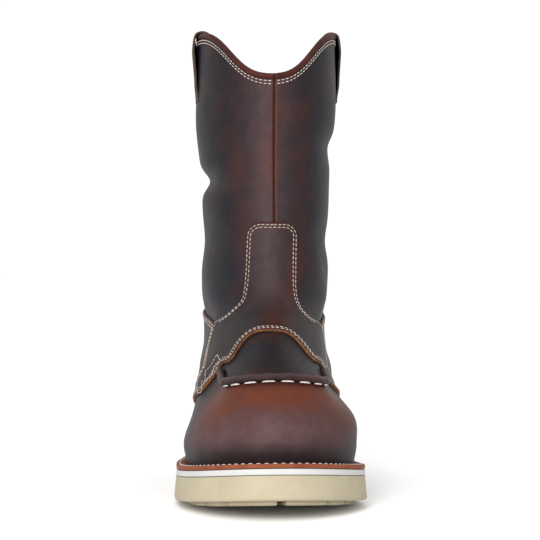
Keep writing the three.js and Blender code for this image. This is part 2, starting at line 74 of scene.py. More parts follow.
# Overlays, trim and clearances
gap = 0.3
seam = 0.5
saddleThickness = 1.8
counterThickness = 1.5
tabHeight = 170
tabWidth = 33
tabCorner = 9
ridgeWidth = 5.2
ridgeHeight = 4.0
bindingWidth = 4
bindingHeight = 3.2
strapWidth = 24
strapThickness = 1.3
strapDrop = 41
strapBow = 2
strapSlack = 4
grooveWidth = 5
lugLength = 13
lugInset = 8
notchWidth = 3
notchHeight = 6

halfSole = soleWidth / 2
toeY = -soleLength / 2
heelY = soleLength / 2
SLOPE_STEP = 0.02


# Small helpers
def lerp(a, b, t):
    return a + (b - a) * t


def table(columns, *rows):
    """Rows of values as records with named columns."""
    return [dict(zip(columns.split(), row)) for row in rows]


def clamp01(t):
    return np.clip(t, 0.0, 1.0)


def smooth(a, b, t):
    s = clamp01((t - a) / (b - a))
    return s * s * (3 - 2 * s)


def spline(values, u):
    """Catmull-Rom through values at equal steps. A value may be one number or one for each point of u."""
    values = np.asarray(values, float)
    u = np.atleast_1d(np.asarray(u, float))
    last = len(values) - 1
    padded = np.concatenate([[2 * values[0] - values[1]], values, [2 * values[-1] - values[-2]]])
    i = np.clip(np.floor(u).astype(int), 0, last - 1)
    f = u - i
    if values.ndim > 1:
        pick = np.arange(len(u))
        p0, p1, p2, p3 = (padded[i + k, pick] for k in range(4))
        f = f.reshape((-1,) + (1,) * (values.ndim - 2))
    else:
        p0, p1, p2, p3 = (padded[i + k] for k in range(4))
    square = 2 * p0 - 5 * p1 + 4 * p2 - p3
    cube = 3 * (p1 - p2) + p3 - p0
    return p1 + 0.5 * f * (p2 - p0 + f * (square + f * cube))


def unit(vectors):
    return vectors / np.maximum(np.linalg.norm(vectors, axis=-1, keepdims=True), 1e-12)


def round_ends(t, nose, tail, power):
    """How far a plan outline has opened at share t of its length: round over its nose and its tail."""
    q = np.maximum(np.maximum(1 - t / nose, 1 - (1 - t) / tail), 0)
    return np.power(np.maximum(0, 1 - np.power(q, power)), 1 / power)


# Sole plan: half widths as shares of half the sole's width, at equal steps from toe to heel
SOLE_INNER = [0.84, 0.93, 0.99, 0.99, 0.9, 0.77, 0.71, 0.7, 0.7, 0.69, 0.66]
SOLE_OUTER = [0.84, 0.92, 0.97, 1.0, 0.98, 0.87, 0.77, 0.71, 0.69, 0.68, 0.66]
SOLE_NOSE = 0.28
SOLE_TAIL = 0.17
SOLE_POWER = 2.25
SWING = [-0.25, -0.1, 0, 0.2, 0.65, 0.95, 1, 1]
SPRING_SHARE = 0.33
SPRING_POWER = 1.5
ARCH_FROM = 0.42
ARCH_TO = 0.72
WEDGE_FROM = 0.4
WEDGE_TO = 0.86
FOREFOOT_TO = 0.5


def share_of_sole(y):
    return clamp01((y - toeY) / soleLength)


def middle_x(y):
    return heelSwing * spline(SWING, share_of_sole(y) * (len(SWING) - 1))


def outline(theta):
    """The sole's outline at angle theta, as x and y. Theta 0 is the toe and the inner side is positive."""
    t = (1 - np.cos(theta)) / 2
    inner = spline(SOLE_INNER, t * (len(SOLE_INNER) - 1))
    outer = spline(SOLE_OUTER, t * (len(SOLE_OUTER) - 1))
    share = np.where(np.sin(theta) >= 0, inner, outer) * round_ends(t, SOLE_NOSE, SOLE_TAIL, SOLE_POWER)
    y = lerp(toeY, heelY, t)
    return np.stack([middle_x(y) + np.sign(np.sin(theta)) * share * halfSole, y], -1)


def sole_plan(theta, inset):
    """The same outline drawn in by inset, square to its edge."""
    along = unit(outline(theta + SLOPE_STEP) - outline(theta - SLOPE_STEP))
    return outline(theta) + np.stack([-along[:, 1], along[:, 0]], -1) * np.reshape(inset, (-1, 1))


# Side profile of the sole: the ground line, then the top of each layer
def ground_z(y):
    t = share_of_sole(y)
    spring = toeSpring * np.power(np.maximum(0, 1 - t / SPRING_SHARE), SPRING_POWER)
    arch = archLift * np.sin(PI * clamp01((t - ARCH_FROM) / (ARCH_TO - ARCH_FROM))) ** 2
    return spring + arch


def outsole_base(y):
    return ground_z(y) + rimLift


def outsole_top(y):
    t = share_of_sole(y)
    fore = ground_z(y) * (1 - smooth(ARCH_FROM, FOREFOOT_TO, t))
    return fore + rimLift + lerp(outsoleFore, outsoleHeel, smooth(WEDGE_FROM, WEDGE_TO, t))


def midsole_top(y):
    return outsole_top(y) + gap + midsoleThickness


def welt_top(y):
    return midsole_top(y) + gap + weltThickness


# Last: one row for each ring of the upper, as in the source. front and back are shares of the foot's length,
# up and upBack of the way from the welt to the throat, and half widths are shares of half the sole's width.
FOOT_RINGS = table(
    "front up back upBack sag swing nose tail inner outer",
    (0.066, 0.43, 1.0, 0.42, 0.55, 1.0, 0.12, 0.2,
     [0.49, 0.53, 0.65, 0.7, 0.7, 0.64, 0.55], [0.49, 0.52, 0.69, 0.72, 0.7, 0.65, 0.57]),
    (0.185, 0.555, 0.988, 0.56, 0.3, 0.8, 0.24, 0.25, [0.4, 0.6, 0.625, 0.485], [0.42, 0.64, 0.67, 0.53]),
    (0.3, 0.7, 0.978, 0.7, 0.1, 0.5, 0.32, 0.3, [0.36, 0.575, 0.65, 0.475], [0.38, 0.61, 0.67, 0.5]),
    (0.412, 0.83, 0.966, 0.86, 0, 0.25, 0.4, 0.38, [0.44, 0.66, 0.7, 0.5], [0.45, 0.66, 0.71, 0.52]),
)
FOOT_POWER = 2.1
SHAFT_RINGS = table(
    "up back depth inner outer",
    (0.0, -0.02, 1.0, 0.87, 0.9),
    (0.22, -0.022, 0.965, 0.885, 0.885),
    (0.42, -0.012, 0.965, 0.905, 0.905),
    (0.7, 0.0, 0.985, 0.995, 0.955),
    (1.0, 0.01, 1.03, 0.978, 0.955),
)
SHAFT_BACK_SHARE = 0.962
SCALLOP_POWER = 1.6
SCALLOP_EASE = 0.45
SCALLOP_TURN = -0.04
# Slack folds: the angle and height of each, its depth, and its half spreads round and up
FOLDS = table(
    "angle at depth turn spread",
    (-1.62, 0.385, 0.062, 0.75, 0.045),
    (-1.35, 0.12, 0.022, 0.8, 0.09),
    (1.55, 0.12, 0.026, 0.8, 0.07),
    (1.5, 0.53, 0.032, 0.7, 0.05),
    (-1.5, 0.62, -0.014, 0.9, 0.13),
)

footLength = soleLength - weltReachToe - weltReachHeel


def foot_y(share):
    return toeY + weltReachToe + share * footLength


def welt_reach(theta):
    return lerp(weltReachToe, weltReachHeel, (1 - np.cos(theta)) / 2)


def sole_ring(out_toe, out_heel, rise, lean):
    def ring(theta):
        outwards = lerp(out_toe, out_heel, (1 - np.cos(theta)) / 2)
        p = sole_plan(theta, welt_reach(theta) - outwards)
        return np.stack([p[:, 0] + lean, p[:, 1], welt_top(p[:, 1]) + gap + rise], -1)
    return ring


def foot_ring(row):
    front = foot_y(row["front"])
    back = foot_y(row["back"])
    front_z = lerp(welt_top(front), throatHeight, row["up"])
    back_z = lerp(welt_top(back), throatHeight, row["upBack"])

    def ring(theta):
        t = (1 - np.cos(theta)) / 2
        y = lerp(front, back, t)
        side = np.sign(np.sin(theta))
        inner = spline(row["inner"], t * (len(row["inner"]) - 1))
        outer = spline(row["outer"], t * (len(row["outer"]) - 1))
        share = np.where(side >= 0, inner, outer) * round_ends(t, row["nose"], row["tail"], FOOT_POWER)
        middle = lerp(heelSwing, middle_x(y), row["swing"])
        dip = row["sag"] * (welt_top(y) - lerp(welt_top(front), welt_top(back), t))
        return np.stack([middle + side * share * halfSole, y, lerp(front_z, back_z, t) + dip], -1)
    return ring


def shaft_ring(row):
    back = foot_y(SHAFT_BACK_SHARE + row["back"])
    front = back - shaftDepth * row["depth"]

    def ring(theta):
        t = (1 - np.cos(theta)) / 2
        share = np.where(np.sin(theta) >= 0, row["inner"], row["outer"])
        rise = 1 - np.power(np.cos(theta - SCALLOP_TURN) ** 2, SCALLOP_POWER)
        scallop = lerp(rise, smooth(0, 1, rise), SCALLOP_EASE)
        top = lerp(lerp(collarDip, backDip, t), collarPeak, scallop)
        x = heelSwing + np.sin(theta) * share * (shaftWidth / 2)
        return np.stack([x, lerp(front, back, t), lerp(throatHeight, top, row["up"])], -1)
    return ring


SHOULDER_RISE = 0.25
BULGE_RISE = 0.11
footRise = throatHeight - float(welt_top(0))
RINGS = [
    sole_ring(0, 0, 0, 0),
    sole_ring(bulge, bulge, BULGE_RISE * footRise, 0),
    sole_ring(-shoulderTuck, heelSwell, SHOULDER_RISE * footRise, shoulderLean),
    *map(foot_ring, FOOT_RINGS),
    *map(shaft_ring, SHAFT_RINGS),
]
TOP = len(RINGS) - 1
THROAT = len(RINGS) - len(SHAFT_RINGS)
MOC = THROAT - len(FOOT_RINGS)


def fold_depth(theta, z):
    share = (z - throatHeight) / (collarPeak - throatHeight)
    depth = np.zeros(z.shape)
    for fold in FOLDS:
        a = (theta - fold["angle"]) / fold["turn"]
        b = (share - fold["at"]) / fold["spread"]
        depth += fold["depth"] * shaftWidth * np.exp(-a * a - b * b)
    return depth


# The skin is the outer face of the upper on a fine net: rows go up from the feather edge, columns go round.
SKIN_COLUMNS = 1080
SKIN_ROWS = 441
# Front and back seams: groove and rolled sides of the joined shaft panels
SEAM_GROOVE = {"depth": 0.7, "width": 0.55, "roll": 0.35, "reach": 2.0}
# Soft creases drawn from one place to another: angle round the boot, height in millimetres
CREASES = table(
    "from to depth width",
    ((-1.5, 196), (-0.55, 186), 1.0, 7.0),
    ((-1.3, 170), (-0.6, 152), 0.8, 8.0),
    ((-0.5, 216), (-0.2, 214), 0.18, 1.3),
    ((-0.42, 222), (-0.22, 225), 0.15, 1.2),
    ((-0.45, 238), (-0.27, 231), 0.2, 1.3),
    ((-0.4, 232), (-0.25, 227), 0.16, 1.2),
    ((-0.5, 41), (0.3, 40), 0.3, 1.5),
    ((-0.45, 187), (-0.08, 186), 0.14, 1.4),
    ((1.5, 214), (0.75, 204), 0.9, 6.0),
    ((1.4, 176), (0.7, 160), 0.8, 8.0),
    ((1.35, 130), (0.95, 146), 0.5, 5.0),
    ((-1.9, 150), (-2.7, 138), 1.1, 7.0),
    ((1.9, 152), (2.7, 140), 1.1, 7.0),
    ((-2.0, 205), (-2.8, 192), 1.0, 9.0),
    ((2.0, 216), (2.8, 204), 1.0, 9.0),
)


def crease_depth(theta, z):
    """How deep the listed creases go, in millimetres."""
    radius = shaftWidth / 2
    depth = np.zeros(z.shape)
    for row in CREASES:
        (a0, z0), (a1, z1) = row["from"], row["to"]
        run = np.array([(a1 - a0) * radius, z1 - z0])
        ax, az = (theta - a0) * radius, z - z0
        t = clamp01((ax * run[0] + az * run[1]) / (run @ run))
        away = np.hypot(ax - t * run[0], az - t * run[1])
        fade = np.sin(PI * lerp(0.12, 0.88, t)) ** 0.8
        depth += row["depth"] * fade * np.exp(-((away / row["width"]) ** 2))
    return depth


def seam_depth(theta, z):
    """The front seam runs down to the tab and the back seam to the counter."""
    across = np.minimum(np.abs(theta) * shaftWidth / 2, (PI - np.abs(theta)) * shaftWidth / 2)
    groove = SEAM_GROOVE["depth"] * np.exp(-((across / SEAM_GROOVE["width"]) ** 2))
    roll = SEAM_GROOVE["roll"] * np.exp(-(((across - SEAM_GROOVE["reach"]) / SEAM_GROOVE["reach"]) ** 2))
    low = np.where(np.abs(theta) < PI / 2, tabHeight - 4, throatHeight - 30)
    return (groove - roll) * smooth(0, 4, z - low)


def net_normals(points, v):
    around = np.roll(points, -1, 1) - np.roll(points, 1, 1)
    out = np.cross(around, np.gradient(points, axis=0))
    out[..., 2] *= clamp01(v)[:, None]
    return unit(out)


def make_skin():
    theta = np.linspace(-PI, PI, SKIN_COLUMNS, endpoint=False)
    v = np.linspace(0, TOP, SKIN_ROWS)
    rings = np.stack([ring(theta) for ring in RINGS])
    points = np.stack([spline(rings, np.full(len(theta), level)) for level in v])
    depth = fold_depth(theta, points[..., 2])
    points = points - net_normals(points, v) * depth[..., None]
    relief = crease_depth(theta, points[..., 2]) + seam_depth(theta, points[..., 2])
    points = points - net_normals(points, v) * relief[..., None]
    return points, net_normals(points, v)


SKIN, SKIN_OUT = make_skin()


def sample(net, theta, v):
    """Value of a net at an angle and a height step, between its four nearest points."""
    a = (np.asarray(theta) + PI) / (2 * PI) * SKIN_COLUMNS
    b = np.clip(v, 0, TOP) / TOP * (SKIN_ROWS - 1)
    i = np.floor(a).astype(int)
    j = np.minimum(np.floor(b).astype(int), SKIN_ROWS - 2)
    fa = (a - i)[..., None]
    fb = (b - j)[..., None]
    left = i % SKIN_COLUMNS
    right = (i + 1) % SKIN_COLUMNS
    low = lerp(net[j, left], net[j, right], fa)
    high = lerp(net[j + 1, left], net[j + 1, right], fa)
    return lerp(low, high, fb)


def skin_at(theta, v, out=0.0):
    return sample(SKIN, theta, v) + unit(sample(SKIN_OUT, theta, v)) * np.asarray(out)[..., None]


# Mesh building
def add_piece(name, points, faces, materials, slots=None, marks=None):
    """A mesh object from points in millimetres. marks are named values, one for each point."""
    mesh = bpy.data.meshes.new(name)
    mesh.from_pydata((np.asarray(points) * MM).tolist(), [], [list(map(int, f)) for f in faces])
    for material in materials:
        mesh.materials.append(material)
    if slots is not None:
        mesh.polygons.foreach_set("material_index", np.asarray(slots, np.int32))
    for key, values in (marks or {}).items():
        mesh.attributes.new(key, "FLOAT", "POINT").data.foreach_set("value", np.asarray(values, np.float32))
    mesh.polygons.foreach_set("use_smooth", [True] * len(mesh.polygons))
    mesh.update()
    piece = bpy.data.objects.new(name, mesh)
    bpy.context.scene.collection.objects.link(piece)
    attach(piece, "root")
    return piece


def net_faces(rows, columns, wrap=True, closed=False):
    """Quads of a net: wrap joins its last column to its first, and closed its last row to its first."""
    r = np.arange(rows if closed else rows - 1)[:, None]
    c = np.arange(columns if wrap else columns - 1)[None, :]
    up, on = (r + 1) % rows, (c + 1) % columns
    quads = np.stack([r * columns + c, r * columns + on, up * columns + on, up * columns + c], -1)
    return quads.reshape(-1, 4)


def strip_cap(start, size, flip):
    """Faces that close a ring whose points mirror about the toe and the heel."""
    faces = []
    for i in range(size // 2):
        quad = [start + i, start + i + 1, start + size - i - 1, start + (size - i) % size]
        corners = list(dict.fromkeys(quad))
        faces.append(corners[::-1] if flip else corners)
    return faces


def resample(points, spacing, closed=False):
    """Points at equal spacing along a line of points, with the distance along for each."""
    if closed:
        points = np.concatenate([points, points[:1]])
    steps = np.linalg.norm(np.diff(points, axis=0), axis=1)
    along = np.concatenate([[0], np.cumsum(steps)])
    count = max(2, int(round(along[-1] / spacing)) + 1)
    at = np.linspace(0, along[-1], count)
    return np.stack([np.interp(at, along, points[:, k]) for k in range(points.shape[1])], -1), at


def polygon_distance(points, corners):
    """Signed distance in a plane to a closed outline, positive inside."""
    corners = np.asarray(corners, float)
    nearest = np.full(len(points), 1e9)
    inside = np.zeros(len(points), bool)
    for a, b in zip(corners, np.roll(corners, -1, 0)):
        run = b - a
        rel = points - a
        t = clamp01(rel @ run / max(run @ run, 1e-9))
        nearest = np.minimum(nearest, np.linalg.norm(rel - t[:, None] * run, axis=1))
        level = (a[1] > points[:, 1]) != (b[1] > points[:, 1])
        cross = a[0] + (points[:, 1] - a[1]) * run[0] / (run[1] if run[1] else 1e-9)
        inside ^= level & (points[:, 0] < cross)
    return np.where(inside, nearest, -nearest)


def cut_net(field):
    """The part of a net where field is above zero, cut cleanly along the zero line. Gives the place
    of each corner in rows and columns, the faces, and the cut edges in order round the part."""
    rows, columns = field.shape
    keep = field > 0
    quads = net_faces(rows, columns, wrap=False)
    flat = keep.ravel()
    count = flat[quads].sum(1)
    faces = [tuple(q) for q in quads[count == 4]]
    places = {}
    cut_edges = {}

    def crossing(a, b):
        key = (min(a, b), max(a, b))
        if key not in places:
            places[key] = rows * columns + len(places)
        return places[key]

    for quad in quads[(count > 0) & (count < 4)]:
        corners = []
        leaving = entering = None
        for a, b in zip(quad, np.roll(quad, -1)):
            if flat[a]:
                corners.append(a)
            if flat[a] != flat[b]:
                corners.append(crossing(a, b))
                if flat[a]:
                    leaving = corners[-1]
                else:
                    entering = corners[-1]
        faces.append(tuple(corners))
        cut_edges[leaving] = entering
    grid = np.stack(np.meshgrid(np.arange(rows), np.arange(columns), indexing="ij"), -1)
    grid = grid.reshape(-1, 2).astype(float)
    values = field.ravel()
    pairs = np.array(list(places)) if places else np.zeros((0, 2), int)
    t = values[pairs[:, 0]] / (values[pairs[:, 0]] - values[pairs[:, 1]])
    crossings = lerp(grid[pairs[:, 0]], grid[pairs[:, 1]], t[:, None])
    where = np.concatenate([grid, crossings])
    used = np.unique(np.concatenate([np.array(f) for f in faces]))
    renumber = np.full(len(where), -1)
    renumber[used] = np.arange(len(used))
    faces = [renumber[list(f)] for f in faces]
    loops = []
    while cut_edges:
        start, here = cut_edges.popitem()
        loop = [start]
        while here != start and here in cut_edges:
            loop.append(here)
            here = cut_edges.pop(here)
        loops.append(renumber[loop])
    return where[used], faces, loops


def between(values, where):
    """Values of a net at places given in rows and columns."""
    i = np.minimum(np.floor(where[:, 0]).astype(int), values.shape[0] - 2)
    j = np.minimum(np.floor(where[:, 1]).astype(int), values.shape[1] - 2)
    a, b = where[:, 0] - i, where[:, 1] - j
    low = lerp(values[i, j], values[i, j + 1], b)
    return lerp(low, lerp(values[i + 1, j], values[i + 1, j + 1], b), a)


def nearest_distance(points, line):
    tree = mathutils.kdtree.KDTree(len(line))
    for k, p in enumerate(line):
        tree.insert(p, k)
    tree.balance()
    return np.array([tree.find(p)[2] for p in points])


# Sheets of leather: how far their lower face stands off the skin, the rounding of the upper face at the edge
# and its share of a full round, and the step of the points along the edge
PLATE_UNDER = 0.1
PLATE_ROUND = 0.9
PLATE_DROP = 0.85
EDGE_STEP = 0.5


def plate(name, theta, v, field, over, materials):
    """A sheet of leather on the skin where field is above zero: lower face, upper face with rounded edges,
    and a cut edge in the second material. Gives the piece and the net of distances from its edge."""
    where, faces, loops = cut_net(field)
    t, h = between(theta, where), between(v, where)
    low = skin_at(t, h, np.full(len(t), PLATE_UNDER))
    edge = np.concatenate([resample(low[loop], EDGE_STEP, closed=True)[0] for loop in loops])
    away = nearest_distance(low, edge)
    drop = PLATE_ROUND * (1 - np.sqrt(clamp01(1 - (1 - clamp01(away / PLATE_ROUND)) ** 2)))
    high = skin_at(t, h, over - PLATE_DROP * drop)
    n = len(low)
    sides = []
    for loop in loops:
        for a, b in zip(loop, np.roll(loop, -1)):
            sides.append((a, b, n + b, n + a))
    every = [tuple(f[::-1]) for f in faces] + [tuple(f + n) for f in faces] + sides
    slots = [0] * (2 * len(faces)) + [1] * len(sides)
    # The face mark is a painted highlight, as on the upper
    marks = {"edge": away, "face": painted_highlight(t, h, low), "warm": warmth(t, h, low)}
    marks = {key: np.tile(values, 2) for key, values in marks.items()}
    piece = add_piece(name, np.concatenate([low, high]), every, materials, slots, marks)
    net = skin_at(theta.ravel(), v.ravel(), np.full(theta.size, PLATE_UNDER))
    distance = nearest_distance(net, edge).reshape(field.shape)
    return piece, np.where(field > 0, distance, -distance)


def rows_along(theta, v, distance, inset, keep):
    """Lines on the skin at a distance inside a plate's edge, as angle and height step, where keep allows."""
    where, _, loops = cut_net(distance - inset)
    lines = []
    for loop in loops:
        line = np.stack([between(theta, where[loop]), between(v, where[loop])], -1)
        good = keep(skin_at(line[:, 0], line[:, 1], np.zeros(len(line))))
        if good.all():
            lines.append(np.concatenate([line, line[:1]]))
            continue
        first = int(np.argmin(good))
        line, good = np.roll(line, -first, 0), np.roll(good, -first)
        ends = np.flatnonzero(np.diff(np.concatenate([[0], good.astype(int), [0]])))
        lines += [line[a:b] for a, b in zip(ends[::2], ends[1::2]) if b - a > 3]
    return lines


# Materials
def shader(name, roughness, specular):
    """A new material, its node tree and its shader."""
    material = bpy.data.materials.new(name)
    material.use_nodes = True
    tree = material.node_tree
    body = tree.nodes["Principled BSDF"]
    body.inputs["Roughness"].default_value = roughness
    body.inputs["Specular IOR Level"].default_value = specular
    return material, tree, body


def node(tree, kind, inputs=None, **settings):
    made = tree.nodes.new(kind)
    for key, value in settings.items():
        setattr(made, key, value)
    for key, value in (inputs or {}).items():
        if isinstance(value, bpy.types.NodeSocket):
            tree.links.new(value, made.inputs[key])
        else:
            made.inputs[key].default_value = value
    return made


def ramp(tree, factor, stops):
    """A colour ramp: stops are (place, colour or grey)."""
    made = node(tree, "ShaderNodeValToRGB", {"Fac": factor})
    elements = made.color_ramp.elements
    while len(elements) < len(stops):
        elements.new(0.5)
    for element, (place, colour) in zip(elements, stops):
        element.position = place
        element.color = (colour, colour, colour, 1) if isinstance(colour, (int, float)) else (*colour, 1)
    return made.outputs["Color"]


def mix(tree, factor, a, b, blend="MIX"):
    made = node(tree, "ShaderNodeMix", data_type="RGBA", blend_type=blend)
    for socket, value in ((made.inputs[0], factor), (made.inputs[6], a), (made.inputs[7], b)):
        if isinstance(value, bpy.types.NodeSocket):
            tree.links.new(value, socket)
        else:
            socket.default_value = (*value, 1) if isinstance(value, tuple) else value
    return made.outputs[2]


def noise(tree, place, size_mm, detail=3.0, roughness=0.55, distortion=0.0):
    return node(tree, "ShaderNodeTexNoise", {"Vector": place, "Scale": 1 / (size_mm * MM), "Detail": detail,
                "Roughness": roughness, "Distortion": distortion}).outputs["Fac"]


def bump(tree, height, depth_mm, normal=None):
    inputs = {"Height": height, "Distance": depth_mm * MM, "Strength": 1.0}
    if normal is not None:
        inputs["Normal"] = normal
    return node(tree, "ShaderNodeBump", inputs).outputs["Normal"]


def srgb(r, g, b):
    """A colour given as 8 bit values, as linear light."""
    values = (r / 255, g / 255, b / 255)
    return tuple(c / 12.92 if c <= 0.04045 else ((c + 0.055) / 1.055) ** 2.4 for c in values)


# Tones that the leather takes where its marks say: pale for a painted highlight, burnished to red, and dark
# for the seam lines, for painted shade and for a band above the welt
PAINTED_HIGHLIGHT = srgb(80, 62, 64)
BURNISHED = srgb(92, 44, 26)
IN_SHADE = srgb(14, 10, 11)
LEATHER_GLOSS = 0.11
EDGE_REACH = 3.0


def mottled(tree, place, mark, size_mm, low, high):
    """A named mark of the mesh, broken up by clouds so that it fades in patches."""
    cloud = noise(tree, place, size_mm, 5, 0.65, 0.5)
    limits = {"Value": cloud, "From Min": 0.35, "From Max": 0.65, "To Min": low, "To Max": high}
    spread = node(tree, "ShaderNodeMapRange", limits).outputs["Result"]
    value = node(tree, "ShaderNodeAttribute", attribute_name=mark).outputs["Fac"]
    return node(tree, "ShaderNodeMath", {0: value, 1: spread}, operation="MULTIPLY").outputs[0]


def leather(name, dark, brown, red, roughness=0.48, wear_and_highlight=None):
    """Oiled pull-up leather: clouds of dark, brown and red, a fine grain, edges rubbed to a warmer tone, and
    the mesh's marks for a painted highlight, burnished red, and dark seams with painted shade.
    """
    material, tree, body = shader(name, roughness, LEATHER_GLOSS)
    place = node(tree, "ShaderNodeTexCoord").outputs["Object"]
    cloud = ramp(tree, noise(tree, place, 46, 4, 0.6, 0.4), [(0.36, 0.0), (0.64, 1.0)])
    patch = ramp(tree, noise(tree, place, 17, 5, 0.62, 0.3), [(0.45, 0.0), (0.72, 1.0)])
    colour = mix(tree, cloud, dark, brown)
    colour = mix(tree, patch, colour, red)
    # A painted highlight where the face mark says
    colour = mix(tree, mottled(tree, place, "face", 10, 0.74, 1.16), colour, PAINTED_HIGHLIGHT)
    colour = mix(tree, mottled(tree, place, "warm", 14, 0.72, 1.2), colour, BURNISHED)
    # The dark seam lines, painted shade by the lip and a dark band above the welt, where the shade mark says
    colour = mix(tree, mottled(tree, place, "shade", 6, 0.8, 1.1), colour, IN_SHADE)
    if wear_and_highlight is not None:
        edge = node(tree, "ShaderNodeAttribute", attribute_name="edge").outputs["Fac"]
        share = node(tree, "ShaderNodeMath", {0: edge, 1: EDGE_REACH}, operation="DIVIDE").outputs[0]
        rim = ramp(tree, share, [(0.12, 1.0), (0.5, 0.0)])
        colour = mix(tree, rim, colour, wear_and_highlight)
    fine = noise(tree, place, 0.9, 4, 0.6)
    speck = mix(tree, 0.16, colour, ramp(tree, fine, [(0.3, 0.0), (0.7, 0.25)]), "SOFT_LIGHT")
    tree.links.new(speck, body.inputs["Base Color"])
    gloss = {"Value": noise(tree, place, 24, 4, 0.6), "To Min": roughness - 0.06, "To Max": roughness + 0.1}
    tree.links.new(node(tree, "ShaderNodeMapRange", gloss).outputs["Result"], body.inputs["Roughness"])
    cells = node(tree, "ShaderNodeTexVoronoi", {"Vector": place, "Scale": 1 / (1.3 * MM)}).outputs["Distance"]
    pores = bump(tree, cells, 0.07)
    folds = bump(tree, noise(tree, place, 6, 3, 0.6, 0.8), 0.16, pores)
    tree.links.new(folds, body.inputs["Normal"])
    return material


def plain(name, colour, other, size_mm, roughness, depth_mm=0.08, specular=0.4):
    """A matt material with two tones in clouds and a fine bump."""
    material, tree, body = shader(name, roughness, specular)
    place = node(tree, "ShaderNodeTexCoord").outputs["Object"]
    cloud = ramp(tree, noise(tree, place, size_mm, 4, 0.6), [(0.35, 0.0), (0.65, 1.0)])
    tree.links.new(mix(tree, cloud, srgb(*colour), srgb(*other)), body.inputs["Base Color"])
    tree.links.new(bump(tree, noise(tree, place, 0.8, 3, 0.6), depth_mm), body.inputs["Normal"])
    return material


DARK = srgb(16, 21, 29)
BROWN = srgb(27, 21, 24)
RED = srgb(42, 24, 23)

upper_leather = leather("upper_leather", DARK, BROWN, RED)
overlay_leather = leather("overlay_leather", srgb(20, 19, 23), srgb(31, 23, 25), srgb(44, 26, 24),
                          wear_and_highlight=srgb(62, 30, 23))
ridge_leather = leather("ridge_leather", srgb(30, 23, 24), srgb(46, 30, 28), srgb(62, 34, 27), roughness=0.46)
binding_leather = leather("binding_leather", srgb(50, 22, 18), srgb(62, 28, 22), srgb(74, 34, 25),
                          roughness=0.55)
raw_edge = plain("raw_edge", (122, 80, 42), (84, 52, 30), 3, 0.75)
dark_edge = plain("dark_edge", (26, 20, 18), (40, 28, 22), 3, 0.6)
lining_leather = plain("lining_leather", (96, 72, 52), (82, 60, 44), 30, 0.85, 0.1)
collar_thread = plain("collar_thread", (196, 180, 168), (162, 144, 132), 2, 0.8, 0.05)
cream_thread = plain("cream_thread", (184, 168, 156), (146, 128, 116), 2, 0.8, 0.05)
white_thread = plain("white_thread", (198, 192, 188), (166, 158, 152), 3, 0.75, 0.05)
tan_thread = plain("tan_thread", (96, 68, 50), (72, 50, 38), 2, 0.8, 0.05)
dark_thread = plain("dark_thread", (10, 7, 8), (18, 12, 12), 2, 0.7, 0.05)
welt_leather = plain("welt_leather", (129, 69, 42), (110, 56, 34), 9, 0.7, 0.1, specular=0.2)
white_rubber = plain("white_rubber", (184, 184, 182), (178, 178, 175), 20, 0.7, 0.03, specular=0.2)
cream_rubber = plain("cream_rubber", (166, 157, 134), (160, 150, 126), 16, 0.7, 0.06, specular=0.2)
cork_foam = plain("cork_foam", (150, 116, 80), (120, 90, 60), 2.5, 0.9, 0.2)
strap_leather = plain("strap_leather", (44, 29, 21), (34, 24, 19), 12, 0.6, 0.08, specular=0.15)
strap_edge = plain("strap_edge", (72, 52, 32), (52, 36, 24), 4, 0.7, 0.06)
# The strap's inner face is near black
strap_inner_face = plain("strap_inner_face", (10, 16, 20), (16, 21, 25), 6, 0.85, 0.08, specular=0.05)


def painted_highlight(theta, v, points):
    """Painted highlight: the leather is painted paler where it faces the front lamp, down the front of the
    shaft and on the toe.
    """
    across = theta * shaftWidth / 2
    shaft = 0.5 * np.exp(-(((across + 5) / 19) ** 2)) * smooth(THROAT - 2.4, THROAT - 0.6, v)
    toe = np.exp(-(((theta + 0.16) / 0.92) ** 4)) * np.exp(-(((v - 1.5) / 0.95) ** 2))
    return clamp01(shaft + toe * smooth(-50, -90, points[:, 1]))


# The upper: outer face, rim and inner face as one hollow wall
SEAM_LINE = 0.75
SIDE_SEAM = PI / 2 + 0.44
UPPER_COLUMNS = 340
UPPER_ROWS = 200
INNER_ROWS = 56


def front_weighted(count):
    """Angles round the boot, closer together at the front and back seams."""
    u = np.linspace(-PI, PI, count, endpoint=False)
    return u - 0.3 * np.sin(2 * u)


# Burnished spots of the shaft: place as millimetres round from the front seam and height, strength and size
WARM_SPOTS = table(
    "at strength wide tall",
    ((-6, 205), 0.25, 6, 26),
    ((7, 240), 0.15, 8, 12),
    ((-26, 203), 0.22, 7, 16),
    ((24, 236), 0.1, 10, 16),
    ((22, 150), 0.15, 6, 20),
    ((20, 190), 0.12, 7, 22),
    ((-24, 160), 0.1, 8, 18),
    ((0, 107), 0.3, 13, 8),
    ((14, 134), 0.28, 6, 22),
)


def warmth(theta, v, points):
    """Where the leather is burnished to red: under the moc seam, beside the front seam and low on the toe."""
    y, z = points[:, 1], points[:, 2]
    toe = smooth(-60, -110, y)
    under = np.exp(-(((v - 2.55) / 0.5) ** 2)) * toe * np.exp(-((theta / 1.0) ** 4))
    face = 0.16 * toe * np.exp(-(((v - 1.6) / 1.1) ** 2)) * np.exp(-((theta / 1.2) ** 4))
    sides = 0.55 * toe * np.exp(-(((np.abs(theta) - 0.9) / 0.35) ** 2) - ((v - 2.1) / 0.7) ** 2)
    across = theta * shaftWidth / 2
    beside = 0.75 * np.exp(-((across / 1.9) ** 2)) * smooth(tabHeight - 6, tabHeight + 4, z)
    spots = sum(row["strength"] * np.exp(-(((across - row["at"][0]) / row["wide"]) ** 2)
                                         - ((z - row["at"][1]) / row["tall"]) ** 2) for row in WARM_SPOTS)
    return clamp01(0.8 * under + face + sides + beside + spots * (v > THROAT - 3))


